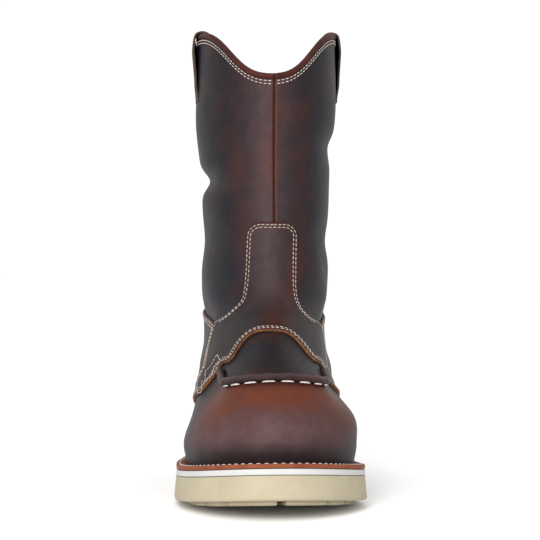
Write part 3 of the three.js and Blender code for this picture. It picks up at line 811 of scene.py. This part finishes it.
def seam_shade(theta, points):
    """The joints of the shaft's panels, as dark lines down the front, the back and the two sides."""
    turn = np.abs(theta)
    ends = np.exp(-((np.minimum(turn, PI - turn) * shaftWidth / 2 / SEAM_LINE) ** 2))
    sides = np.exp(-(((turn - SIDE_SEAM) * shaftWidth / 2 / SEAM_LINE) ** 2))
    return ends * smooth(tabHeight - 6, tabHeight, points[:, 2]) + sides * (points[:, 2] > throatHeight - 26)


def valley_shade(theta, v):
    """Painted shade in the deep valley between the lip and the plug, darkest at its corners, and a darker
    band low on the front, just above the welt.
    """
    away = np.abs(theta)
    valley = np.exp(-(((v - ridge_level(theta) - 0.28) / 0.22) ** 2))
    low_front_band = 0.4 * np.exp(-(((v - 0.4) / 0.3) ** 2)) * (1 - smooth(1.0, 1.4, away))
    return low_front_band + valley * lerp(0.35, 1, smooth(0.25, 0.55, away)) * (1 - smooth(0.75, 1.0, away))


def make_upper():
    theta = front_weighted(UPPER_COLUMNS)
    v = np.linspace(0, TOP, UPPER_ROWS)
    inner_v = np.linspace(TOP, 0, INNER_ROWS)
    rows = [skin_at(theta, np.full(len(theta), level)) for level in v]
    inner = [skin_at(theta, np.full(len(theta), level), np.full(len(theta), -wall)) for level in inner_v]
    points = np.concatenate(rows + inner)
    faces = net_faces(UPPER_ROWS + INNER_ROWS, UPPER_COLUMNS, closed=True)
    slots = np.repeat([0] * (UPPER_ROWS - 1) + [1] * (INNER_ROWS + 1), UPPER_COLUMNS)
    grid_v = np.repeat(np.concatenate([v, inner_v]), UPPER_COLUMNS)
    angles = np.tile(theta, UPPER_ROWS + INNER_ROWS)
    # The face mark is a painted highlight; the shade mark holds the dark seam lines, painted shade by the lip
    # and a dark band above the welt
    shade = np.maximum(seam_shade(angles, points), valley_shade(angles, grid_v))
    face = painted_highlight(angles, grid_v, points)
    marks = {"warm": warmth(angles, grid_v, points), "shade": shade, "face": face}
    piece = add_piece("upper_wall", points, faces, [upper_leather, lining_leather], slots, marks)
    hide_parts("upper")


# Outlines of the overlays in side view and front view, as in the source
SADDLE_FRONT = [
    (0.2, 0.9), (0.235, 0.53), (0.265, 0.514), (0.283, 0.482), (0.297, 0.413), (0.309, 0.36),
    (0.37, 0.33), (0.44, 0.27), (0.475, 0.1), (0.485, -0.2),
]
ARCH = [
    (0, 0.688), (0.13, 0.682), (0.23, 0.66), (0.32, 0.617), (0.4, 0.565),
    (0.46, 0.535), (0.53, 0.51), (0.59, 0.475),
]
ARCH_MIDDLE = 0.01
ARCH_BACK_SHARE = 0.36
SADDLE_BACK = [
    (0.57, -0.2), (0.555, 0.1), (0.5, 0.34), (0.43, 0.4), (0.39, 0.432), (0.387, 0.484),
    (0.41, 0.524), (0.45, 0.592), (0.47, 0.65), (0.478, 0.69),
]
COUNTER_TOP = [
    (0.495, 0.704), (0.582, 0.722), (0.704, 0.742), (0.85, 0.775), (1.1, 0.83),
]
COUNTER_FOOT = (1.1, -0.2)
FLARE = [
    (1.02, 0.9, 0.63), (1.1, 0.83, 0.56), (1.35, 0.775, 0.31), (1.64, 0.73, 0.06),
    (2, 0.7, -0.05), (2.4, 0.67, -0.1),
]
FLARE_BACK_SHARE = 0.55
TAB_SWING = 0.83


def up_to(share):
    return lerp(float(welt_top(0)), throatHeight, share)


def side_points(rows):
    return [(foot_y(share), up_to(up)) for share, up in rows]


def curve_through(rows, per=6):
    """A smooth line through rows of two numbers."""
    rows = np.array(rows, float)
    u = np.linspace(0, len(rows) - 1, per * (len(rows) - 1) + 1)
    return np.stack([spline(rows[:, 0], u), spline(rows[:, 1], u)], -1)


def tab_shape():
    half = tabWidth / 2
    turn = np.linspace(0, PI / 2, 8)
    corner = np.stack([half - tabCorner * (1 - np.cos(turn)), tabHeight - tabCorner * (1 - np.sin(turn))], -1)

    def side(sign):
        rows = [(sign * half * share + heelSwing * swing, up_to(up)) for share, up, swing in FLARE]
        flare = curve_through(rows)
        return np.concatenate([flare[::-1], corner * (sign, 1) + (heelSwing * TAB_SWING, 0)])

    return np.concatenate([side(1), side(-1)[::-1]])


def arch_shape():
    half = curve_through([(halfSole * share, up_to(up)) for share, up in ARCH])
    right = np.concatenate([half, [(half[-1, 0], 0)]])
    left = right[:0:-1] * (-1, 1)
    return np.concatenate([right, left]) + (halfSole * ARCH_MIDDLE, 0)


def shut(field):
    """The field with its border below zero, so that what is cut from it is closed."""
    for border in (field[0], field[-1], field[:, 0], field[:, -1]):
        np.minimum(border, -0.02, out=border)
    return field


def leather_net(theta_low, theta_high, v_high, columns, rows):
    return np.meshgrid(np.linspace(theta_low, theta_high, columns), np.linspace(0, v_high, rows))


def counter_field(points):
    outline_of_counter = side_points(SADDLE_BACK) + side_points(COUNTER_TOP) + side_points([COUNTER_FOOT])
    shifted = [(y + (seam if k < len(SADDLE_BACK) else 0), z) for k, (y, z) in enumerate(outline_of_counter)]
    return polygon_distance(points[:, 1:], shifted)


SADDLE_BLEND = 5.0


def saddle_field(points):
    band = polygon_distance(points[:, 1:], side_points(SADDLE_FRONT + SADDLE_BACK))
    tab = np.minimum(polygon_distance(points[:, ::2], tab_shape()), foot_y(FLARE_BACK_SHARE) - points[:, 1])
    arch = np.minimum(polygon_distance(points[:, ::2], arch_shape()), foot_y(ARCH_BACK_SHARE) - points[:, 1])
    h = clamp01(0.5 + 0.5 * (band - tab) / SADDLE_BLEND)
    both = lerp(tab, band, h) + SADDLE_BLEND * h * (1 - h)
    return np.minimum(np.minimum(both, -arch), -counter_field(points) - seam)


# A stitch is a short thread whose ends narrow: where its rings stand as shares of its length, and their size
STITCH_SIZES = np.array([0.35, 0.85, 1.0, 0.85, 0.35])
STITCH_RING = 6
STITCH_SUNK = 0.6


def add_stitches(points, faces, body, out, along, sew, shoulder=0.36):
    """Stitches at equal pitch along a line: body, way out and distance along at each of its points."""
    count = int(along[-1] // sew["pitch"])
    turn = np.linspace(0, 2 * PI, STITCH_RING, endpoint=False)
    radius = (sew["thick"] / 2 * STITCH_SIZES)[:, None, None]
    rise = (sew["thick"] / 2 * (STITCH_SIZES - STITCH_SUNK))[:, None, None]
    for k in range(count):
        at = (k + 0.5) * along[-1] / count + np.array([-0.5, -shoulder, 0, shoulder, 0.5]) * sew["length"]
        centre = np.stack([np.interp(at, along, body[:, c]) for c in range(3)], -1)
        normal = unit(np.stack([np.interp(at, along, out[:, c]) for c in range(3)], -1))[:, None]
        side = unit(np.cross(normal[:, 0], unit(np.gradient(centre, axis=0))))[:, None]
        start = len(points) * STITCH_SIZES.size * STITCH_RING
        circles = side * (radius * np.cos(turn)[:, None]) + normal * (rise + radius * np.sin(turn)[:, None])
        points.append((centre[:, None] + circles).reshape(-1, 3))
        faces += [tuple(f) for f in net_faces(STITCH_SIZES.size, STITCH_RING) + start]
        ends = np.arange(STITCH_RING)
        faces += [tuple(start + ends[::-1]), tuple(start + (STITCH_SIZES.size - 1) * STITCH_RING + ends)]


def stitches(name, lines, sew, lift, thread):
    """Raised stitches along lines on the skin, as one joined mesh that stands off the skin by lift."""
    points, faces = [], []
    for line in lines:
        body = skin_at(line[:, 0], line[:, 1], np.full(len(line), lift))
        out = unit(sample(SKIN_OUT, line[:, 0], line[:, 1]))
        along = np.concatenate([[0], np.cumsum(np.linalg.norm(np.diff(body, axis=0), axis=1))])
        add_stitches(points, faces, body, out, along, sew)
    add_piece(name, np.concatenate(points), faces, [thread])


ROW_FIRST = 1.5
ROW_STEP = 1.8
WELT_CLEAR = 2.5
DOUBLE_FROM = 0.7
SEW = {"pitch": 2.9, "length": 2.1, "thick": 0.64}


def overlay(name, theta, v, field_of, thickness, materials):
    """An overlay cut from the skin, and the net of distances from its edge for its stitch rows."""
    outside = skin_at(theta.ravel(), v.ravel(), np.full(theta.size, gap + thickness))
    field = shut(field_of(outside).reshape(theta.shape))
    piece, distance = plate(name + "_panel", theta, v, field, gap + thickness, materials)
    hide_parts(name)
    return distance


# Extra stitches where the saddle meets the toe, as angle and height step
BOX_OUTER = [(-0.87, 3.9), (-0.82, 3.7), (-0.93, 3.3), (-1.1, 2.85), (-1.14, 3.2), (-1.0, 3.55), (-0.87, 3.9)]
BAR_OUTER = [(-1.3, 2.95), (-1.2, 2.6), (-1.1, 2.6), (-1.16, 2.9)]
BAR_INNER = [(0.83, 3.6), (1.0, 3.4), (1.14, 3.4), (1.26, 3.1)]


def saddle_rows(theta, v, distance):
    """Two stitch rows along the saddle's edges, and one alone along its rear edge."""
    def above_welt(points):
        return points[:, 2] > welt_top(points[:, 1]) + WELT_CLEAR

    def front_rows(points):
        flat = np.pad(points[:, 1:], ((0, 0), (0, 1)))
        lines = [resample(np.array(side_points(rows)), 1)[0] for rows in (SADDLE_FRONT, SADDLE_BACK)]
        to_front, to_back = (nearest_distance(flat, np.pad(line, ((0, 0), (0, 1)))) for line in lines)
        return above_welt(points) & ((to_front < to_back) | (points[:, 2] > up_to(DOUBLE_FROM)))

    first = rows_along(theta, v, distance, ROW_FIRST, above_welt)
    return first + rows_along(theta, v, distance, ROW_FIRST + ROW_STEP, front_rows)


def make_saddle():
    theta, v = leather_net(-2.05, 2.05, 8.4, 300, 230)
    distance = overlay("saddle", theta, v, saddle_field, saddleThickness, [overlay_leather, raw_edge])
    box = resample(np.array(BOX_OUTER), 0.02)[0]
    extra = [box, curve_through(BAR_OUTER, 8), curve_through(BAR_INNER, 8)]
    lines = saddle_rows(theta, v, distance) + extra
    stitches("saddle_stitches", lines, SEW, gap + saddleThickness, cream_thread)


def make_counter():
    theta, v = leather_net(PI - 2.0, PI + 2.0, 7.4, 260, 200)
    distance = overlay("counter", theta, v, counter_field, counterThickness, [overlay_leather, dark_edge])

    def top_rows(points):
        return points[:, 2] > up_to(0.2)

    insets = (ROW_FIRST, ROW_FIRST + ROW_STEP)
    lines = [line for inset in insets for line in rows_along(theta, v, distance, inset, top_rows)]
    stitches("counter_stitches", lines, SEW, gap + counterThickness, cream_thread)


# The proud seam of the moc toe: a rolled lip that puckers at each of its large stitches
RIDGE_REACH = 0.83
RIDGE_TURN = 0.6
RIDGE_DIP = 0.09
RIDGE_CLIMB = 0.42
RIDGE_CLIMB_POWER = 1.3
MOC_PITCH = 10.2
MOC_STITCH = {"pitch": MOC_PITCH, "length": 7.6, "thick": 1.05}
MOC_STITCH_DROP = 0.11
MOC_STITCH_LIFT = 1.6
MOC_STITCH_REACH = 0.72
RIDGE_STEPS = 220
RIDGE_ROUND = 16
LIP_LIGHT = 0.5


def ridge_level(theta):
    """Height step of the lip: level round the front of the plug, then climbing to its two ends."""
    climb = np.maximum(0, (np.abs(theta) - RIDGE_TURN) / (RIDGE_REACH - RIDGE_TURN))
    return MOC - RIDGE_DIP * smooth(0, RIDGE_TURN, np.abs(theta)) + RIDGE_CLIMB * climb ** RIDGE_CLIMB_POWER


def make_ridge():
    theta = np.linspace(-RIDGE_REACH, RIDGE_REACH, RIDGE_STEPS + 1)
    level = ridge_level(theta)
    base = skin_at(theta, level)
    out = unit(sample(SKIN_OUT, theta, level))
    along = unit(np.gradient(base, axis=0))
    across = unit(np.cross(out, along))
    length = np.concatenate([[0], np.cumsum(np.linalg.norm(np.diff(base, axis=0), axis=1))])
    pucker = 0.5 + 0.5 * np.cos(2 * PI * (length - length[-1] / 2) / MOC_PITCH)
    rows = []
    for k in range(RIDGE_ROUND):
        turn = 2 * PI * k / RIDGE_ROUND
        w, h = math.cos(turn), math.sin(turn)
        wide = ridgeWidth / 2 * np.sign(w) * abs(w) ** 0.8 * (1 - 0.1 * pucker)
        tall = gap + ridgeHeight * (0.5 + 0.5 * np.sign(h) * abs(h) ** 0.8) * (1 - 0.07 * pucker)
        rows.append(base + across * wide[:, None] + out * tall[:, None])
    points = np.stack(rows, 1).reshape(-1, 3)
    faces = [tuple(f[::-1]) for f in net_faces(RIDGE_STEPS + 1, RIDGE_ROUND)]
    faces.append(tuple(range(RIDGE_ROUND)))
    faces.append(tuple(np.arange(RIDGE_ROUND)[::-1] + RIDGE_STEPS * RIDGE_ROUND))
    turns = 2 * PI * np.arange(RIDGE_ROUND) / RIDGE_ROUND
    # Painted highlight on the top and front of the lip, given as its face mark
    wear_and_highlight = np.outer(1 - smooth(0.45, 0.8, np.abs(theta)), 0.55 * clamp01(np.sin(turns + LIP_LIGHT)))
    piece = add_piece("moc_lip", points, faces, [ridge_leather], marks={"face": wear_and_highlight.ravel()})
    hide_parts("moc_ridge")
    # The large stitches lie across the foot of the lip, on the toe side.
    stitched = np.abs(theta) < MOC_STITCH_REACH
    line = np.stack([theta, level - MOC_STITCH_DROP], -1)[stitched]
    stitches("moc_stitches", [line], MOC_STITCH, MOC_STITCH_LIFT, white_thread)


# The layers of the sole: rings of their section, round the true outline
SOLE_COLUMNS = 360


def sole_level(theta, inset, height):
    p = sole_plan(theta, np.broadcast_to(inset, theta.shape))
    return np.stack([p[:, 0], p[:, 1], height(p[:, 1])], -1)


def sole_angles():
    return np.linspace(0, 2 * PI, SOLE_COLUMNS, endpoint=False)


def make_stack(name, node_name, levels, materials):
    theta = sole_angles()
    rows = [sole_level(theta, inset, height) for inset, height in levels]
    last = (len(rows) - 1) * SOLE_COLUMNS
    faces = [tuple(f) for f in net_faces(len(rows), SOLE_COLUMNS)]
    faces += strip_cap(0, SOLE_COLUMNS, True) + strip_cap(last, SOLE_COLUMNS, False)
    piece = add_piece(name, np.concatenate(rows), faces, materials)
    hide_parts(node_name)


def rounded(inset, low, high, radius):
    """Levels of a layer from low to high whose two edges are rounded."""
    turn = np.linspace(0, PI / 2, 4)
    under = [(inset + radius * (1 - math.sin(a)), lambda y, a=a: low(y) + radius * (1 - math.cos(a)))
             for a in turn]
    over = [(inset + radius * (1 - math.cos(a)), lambda y, a=a: high(y) - radius * (1 - math.sin(a)))
            for a in turn]
    return under + over


def make_midsole():
    levels = rounded(soleFlare, lambda y: outsole_top(y) + gap, midsole_top, 0.5)
    make_stack("midsole_band", "midsole", levels, [white_rubber])


def make_welt():
    theta = sole_angles()
    inner = welt_reach(theta) + wall
    levels = rounded(soleFlare, lambda y: midsole_top(y) + gap, welt_top, 0.6)
    rows = [sole_level(theta, inset, height) for inset, height in levels]
    rows.append(sole_level(theta, inner, welt_top))
    rows.append(sole_level(theta, inner, lambda y: midsole_top(y) + gap))
    faces = net_faces(len(rows), SOLE_COLUMNS, closed=True)
    piece = add_piece("welt_strip", np.concatenate(rows), faces, [welt_leather])
    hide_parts("welt")


# Stitches along the top of the welt
WELT_SEW = {"pitch": 4.7, "length": 3.1, "thick": 0.85}
WELT_SEW_INSET = 3.4


def make_welt_stitches():
    theta = np.linspace(0, 2 * PI, 2 * SOLE_COLUMNS, endpoint=False)
    body, along = resample(sole_level(theta, WELT_SEW_INSET, welt_top), 0.4, closed=True)
    up = np.tile([0.0, 0.0, 1.0], (len(body), 1))
    points, faces = [], []
    add_stitches(points, faces, body, up, along, WELT_SEW, shoulder=0.25)
    add_piece("welt_stitches", np.concatenate(points), faces, [white_thread])


# The outsole: a flared wedge, and the lugs under it parted by grooves
NOTCH_ANGLES = [-0.8, 0.8]
NOTCH_DEPTH = 1.5
NOTCH_AIM = (0, -40)
WALL_LEVELS = 14
LUG_STEP = 1.1
LUG_WEAR = 0.7
LUG_WEAR_REACH = 1.2
LUG_ROOT = 0.6
LUG_ROWS = 7


def outsole_wall():
    """Rows of the outsole's side, from its rounded lower edge up, with the small notches in it."""
    radius = soleEdgeRound
    levels = [(radius * (1 - math.sin(a)), lambda y, a=a: outsole_base(y) + radius * (1 - math.cos(a)))
              for a in np.linspace(0, PI / 2, 5)]
    levels += [(soleFlare * t, lambda y, t=t: lerp(outsole_base(y) + radius, outsole_top(y), t))
               for t in np.linspace(0, 1, WALL_LEVELS)[1:]]
    theta = np.linspace(0, 2 * PI, 2 * SOLE_COLUMNS, endpoint=False)
    rows = []
    for inset, height in levels:
        row = sole_level(theta, inset, height)
        for angle in NOTCH_ANGLES:
            middle = sole_plan(np.array([angle]), np.zeros(1))[0]
            away = np.linalg.norm(row[:, :2] - middle, axis=1)
            up = (row[:, 2] - outsole_base(row[:, 1])) / notchHeight
            cut = clamp01(1 - away / (notchWidth / 2 * clamp01(1 - up) + 0.05)) * (up < 1)
            inward = unit(np.array(NOTCH_AIM) - middle)
            row[:, :2] += inward * (NOTCH_DEPTH * smooth(0, 0.5, cut))[:, None]
        rows.append(row)
    return rows


def lug_field(plan):
    """Above zero on the lugs, in plan: rows of blocks parted by grooves, inside the sole's outline."""
    inside = polygon_distance(plan, sole_plan(sole_angles()[::2], np.full(SOLE_COLUMNS // 2, lugInset)))
    pitch = lugLength + grooveWidth
    from_groove = np.abs((plan[:, 1] + pitch / 2) % pitch - pitch / 2) - grooveWidth / 2
    from_middle = np.abs(plan[:, 0]) - grooveWidth / 2
    in_row = np.abs(plan[:, 1]) < LUG_ROWS * pitch + grooveWidth / 2
    return np.minimum(inside, np.where(in_row, np.minimum(from_groove, from_middle), from_middle))


def make_outsole():
    rows = outsole_wall()
    size = len(rows[0])
    faces = [tuple(f) for f in net_faces(len(rows), size)]
    faces += strip_cap(0, size, True) + strip_cap((len(rows) - 1) * size, size, False)
    points = np.concatenate(rows)

    x, y = np.meshgrid(np.arange(-halfSole, halfSole + 0.1, LUG_STEP), np.arange(toeY, heelY + 0.1, LUG_STEP))
    field = lug_field(np.stack([x.ravel(), y.ravel()], -1))
    where, lugs, loops = cut_net(shut(field.reshape(x.shape)))
    lug_plan = np.stack([between(x, where), between(y, where)], -1)
    edge = np.concatenate([resample(lug_plan[loop], EDGE_STEP, closed=True)[0] for loop in loops])
    away = nearest_distance(np.pad(lug_plan, ((0, 0), (0, 1))), np.pad(edge, ((0, 0), (0, 1))))
    wear_and_highlight = LUG_WEAR * (1 - clamp01(away / LUG_WEAR_REACH)) ** 2
    foot = np.column_stack([lug_plan, ground_z(lug_plan[:, 1]) + wear_and_highlight])
    root = np.column_stack([lug_plan, outsole_base(lug_plan[:, 1]) + LUG_ROOT])
    n, base = len(foot), len(points)
    faces += [tuple(f[::-1] + base) for f in lugs] + [tuple(f + base + n) for f in lugs]
    for loop in loops:
        for a, b in zip(loop, np.roll(loop, -1)):
            faces.append((base + n + b, base + n + a, base + a, base + b))
    piece = add_piece("outsole_wedge", np.concatenate([points, foot, root]), faces, [cream_rubber])
    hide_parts("outsole")


# The binding: leather folded over the rim, with the two stitch rows below it
BINDING_ROUND = 16
BINDING_OVERLAP = 0.5
COLLAR_ROWS = (1.2, 3.1)
COLLAR_NOTCH = 0.03
SEAM_LIFT = 0.1
FRONT_SEW = {"pitch": 2.6, "length": 1.9, "thick": 0.9}


def make_binding():
    theta = np.linspace(-PI, PI, 480, endpoint=False)
    top = np.full(len(theta), float(TOP))
    rim = skin_at(theta, top)
    out = unit(sample(SKIN_OUT, theta, top))
    up = unit(rim - skin_at(theta, top - 0.05))
    rows = []
    for k in range(BINDING_ROUND):
        turn = 2 * PI * k / BINDING_ROUND
        w = bindingWidth / 2 * math.cos(turn)
        h = bindingHeight / 2 * (1 + math.sin(turn)) - BINDING_OVERLAP * (math.sin(turn) < 0)
        rows.append(rim + out * (w - wall / 2) + up * (gap + h))
    faces = net_faces(BINDING_ROUND, len(theta), closed=True)
    piece = add_piece("collar_roll", np.concatenate(rows), faces, [binding_leather])
    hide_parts("collar_binding")


def line_below_rim(distance, count=900):
    """Angle and height step of a line at a distance below the rim, measured down the skin."""
    theta = np.linspace(-PI, PI, count)
    steps = np.linspace(TOP, TOP - 1.2, 60)
    rows = np.stack([skin_at(theta, np.full(count, level)) for level in steps])
    steps_down = np.linalg.norm(np.diff(rows, axis=0), axis=2)
    down = np.concatenate([np.zeros((1, count)), np.cumsum(steps_down, axis=0)])
    level = np.array([np.interp(distance, down[:, k], steps) for k in range(count)])
    return np.stack([theta, level], -1)


def make_collar_stitches():
    lines = []
    for distance in COLLAR_ROWS:
        line = line_below_rim(distance)
        lines += [line[line[:, 0] < -COLLAR_NOTCH], line[line[:, 0] > COLLAR_NOTCH]]
    stitches("collar_stitches", lines, SEW, SEAM_LIFT, collar_thread)


def level_at(theta, z):
    """Height step of the skin at an angle and a height in millimetres, on the shaft."""
    steps = np.linspace(THROAT - 2, TOP, 200)
    heights = np.array([skin_at(np.array([theta]), np.array([v]))[0, 2] for v in steps])
    return float(np.interp(z, heights, steps))


SEAM_ROWS = 0.03


def make_seam_stitches():
    front_low, front_high = level_at(0.0, tabHeight + 1), level_at(0.0, collarDip - 8)
    v = np.linspace(front_low, front_high, 200)
    front = np.stack([np.zeros(len(v)), v], -1)
    stitches("front_seam_thread", [front], FRONT_SEW, SEAM_LIFT, dark_thread)
    sides = []
    for angle in (SIDE_SEAM - SEAM_ROWS, SIDE_SEAM + SEAM_ROWS):
        for side in (-1, 1):
            low, high = level_at(side * angle, throatHeight - 22), level_at(side * angle, collarPeak - 10)
            v = np.linspace(low, high, 200)
            sides.append(np.stack([np.full(len(v), side * angle), v], -1))
    back = np.linspace(level_at(PI - 0.01, throatHeight - 6), level_at(PI - 0.01, backDip - 10), 200)
    for shift in (-0.05, 0.05):
        sides.append(np.stack([np.full(len(back), PI + shift), back], -1))
    stitches("shaft_seam_stitches", sides, SEW, SEAM_LIFT, tan_thread)


# The pull straps: bands that stand off the outside of the shaft, pass over the collar and run down its inside
STRAP_STEPS = 90
STRAP_ACROSS = 12
STRAP_TAPER = 13
STRAP_RUN_OUT = 0.9
STRAP_EASE = 1.5


def shaft_reach(side, z):
    steps = np.linspace(THROAT, TOP, 400)
    line = skin_at(np.full(400, side * PI / 2), steps)
    return np.abs(np.interp(z, line[:, 2], line[:, 0]) - heelSwing)


def strap_path(side):
    """The strap's middle line in front view: distance from the shaft's axis, and height."""
    half = strapThickness / 2
    sag = (shaftWidth / 2) * (1 - math.sqrt(1 - (strapWidth / (shaftDepth - 2 * wall)) ** 2))
    outer = half + gap
    inner = -wall - 2 * gap - half - sag
    clear = bindingWidth / 2 + 2 * gap + half
    crown_z = collarPeak + gap + bindingHeight / 2
    crown_rise = bindingHeight / 2 + 3 * gap + half
    crown_out = clear - wall / 2
    crown_in = -clear - wall / 2 - sag - strapSlack + STRAP_EASE
    turn = PI * np.linspace(0, 1, 5)
    crown_x = lerp(crown_in, crown_out, (1 + np.cos(turn)) / 2)
    crown = np.stack([crown_x, crown_z + np.sin(turn) * crown_rise], -1)
    legs_out = [(outer, 1), (outer, 0.8), (outer + 0.2 * strapBow, 0.6), (outer + 0.7 * strapBow, 0.35),
                (outer + strapBow, 0.16)]
    legs_in = [(lerp(inner, crown_in, 0.9), 0.16), (lerp(inner, crown_in, 0.5), 0.4), (inner, 0.8)]
    outer_leg, inner_leg = ([(out, collarPeak - share * strapDrop) for out, share in legs]
                            for legs in (legs_out, legs_in))
    path = np.array([(shaft_reach(side, z) + out, z) for out, z in [*outer_leg, *crown, *inner_leg]])
    step = np.linalg.norm(np.diff(path, axis=0), axis=1).sum() / STRAP_STEPS
    return resample(curve_through(path, 10), step)[0]


def strap_edge_line(side, line, across):
    """A line of the strap at a share across its width. The rear of the outer leg lies closer to the shaft,
    and its lower end runs out on it."""
    z = line[:, 1]
    rim = smooth(collarPeak + 6, collarPeak - 1, z)
    stand = np.clip(line[:, 0] - shaft_reach(side, z), 0, None) * rim
    close = lerp(-gap, 2 * gap, smooth(collarPeak, collarPeak - 4, z))
    tuck = np.clip(stand + close, 0, None) * smooth(0, 0.5, across)
    run_out = smooth(STRAP_TAPER, 0, z - (collarPeak - strapDrop)) * (stand > 0)
    taper = (strapThickness + gap) * STRAP_RUN_OUT * run_out
    return heelSwing + side * (line[:, 0] - np.maximum(tuck, taper))


def make_strap(side, name):
    path = strap_path(side)
    along = unit(np.gradient(path, axis=0))
    off = np.stack([-along[:, 1], along[:, 0]], -1) * strapThickness / 2
    middle_y = skin_at(np.array([PI / 2]), np.array([float(TOP)]))[0, 1]
    shares = np.linspace(-0.5, 0.5, STRAP_ACROSS)
    loop = [(path - off, share) for share in shares] + [(path + off, share) for share in shares[::-1]]
    points, faces, slots = [], [], []
    for line, share in loop:
        y = np.full(len(line), middle_y + share * strapWidth)
        points.append(np.column_stack([strap_edge_line(side, line, share), y, line[:, 1]]))
    count, size = len(path), len(loop)
    for c in range(size):
        nxt = (c + 1) % size
        for k in range(count - 1):
            quad = (c * count + k, nxt * count + k, nxt * count + k + 1, c * count + k + 1)
            faces.append(quad if side > 0 else quad[::-1])
            slots.append(1 if c in (STRAP_ACROSS - 1, size - 1) else 2 if c >= STRAP_ACROSS else 0)
    for end in (0, count - 1):
        cap = [c * count + end for c in range(size)]
        faces.append(cap[::-1] if (end == 0) == (side > 0) else cap)
        slots.append(1)
    materials = [strap_leather, strap_edge, strap_inner_face]
    piece = add_piece(name + "_band", np.concatenate(points), faces, materials, slots)
    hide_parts(name)


make_upper()
make_saddle()
make_counter()
make_ridge()
make_welt()
make_welt_stitches()
make_midsole()
make_outsole()
make_binding()
make_collar_stitches()
make_seam_stitches()
make_strap(1, "pull_strap_inner")
make_strap(-1, "pull_strap_outer")
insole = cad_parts["insole"]
insole.data.materials.clear()
insole.data.materials.append(cork_foam)

# Camera: the photo's view, level and in front of the toe, turned a little towards the inner side
FOCAL_PX = 1968
FRAME_PX = 540
CAMERA_AT = (-96.4, -1241, 140)
CAMERA_TURN = math.asin(0.0816)
lens = bpy.data.cameras.new("photo_camera")
lens.sensor_width = 36
lens.lens = FOCAL_PX / FRAME_PX * lens.sensor_width
camera = bpy.data.objects.new("photo_camera", lens)
bpy.context.scene.collection.objects.link(camera)
camera.location = Vector(CAMERA_AT) * MM
camera.rotation_euler = (PI / 2, 0, -CAMERA_TURN)
bpy.context.scene.camera = camera


# Stage: a pale floor, a plain sky and one soft lamp in front. Places and sizes are in metres.
def lamp(name, at, size, power, aim):
    data = bpy.data.lights.new(name, "AREA")
    data.shape = "RECTANGLE"
    data.size, data.size_y = size
    data.energy = power
    made = bpy.data.objects.new(name, data)
    bpy.context.scene.collection.objects.link(made)
    made.location = at
    made.rotation_euler = (Vector(aim) - Vector(at)).to_track_quat("-Z", "Y").to_euler()


floor_mesh = bpy.data.meshes.new("floor")
floor_reach = 30
corners = [(x * floor_reach, y * floor_reach, 0) for x, y in ((-1, -1), (1, -1), (1, 1), (-1, 1))]
floor_mesh.from_pydata(corners, [], [(0, 1, 2, 3)])
floor_object = bpy.data.objects.new("floor", floor_mesh)
bpy.context.scene.collection.objects.link(floor_object)
floor_object.location.z = -0.0002
floor_material, _, floor_body = shader("floor_paint", 0.9, 0.1)
floor_body.inputs["Base Color"].default_value = (0.98, 0.98, 0.98, 1)
floor_mesh.materials.append(floor_material)

world = bpy.data.worlds.new("sky")
bpy.context.scene.world = world
world.use_nodes = True
world.node_tree.nodes["Background"].inputs["Color"].default_value = (1, 1, 1, 1)
world.node_tree.nodes["Background"].inputs["Strength"].default_value = 1.04
lamp("front_lamp", (-0.45, -1.5, 0.6), (0.45, 1.3), 24, (0, 0, 0.13))
bpy.context.scene.view_settings.view_transform = "Standard"
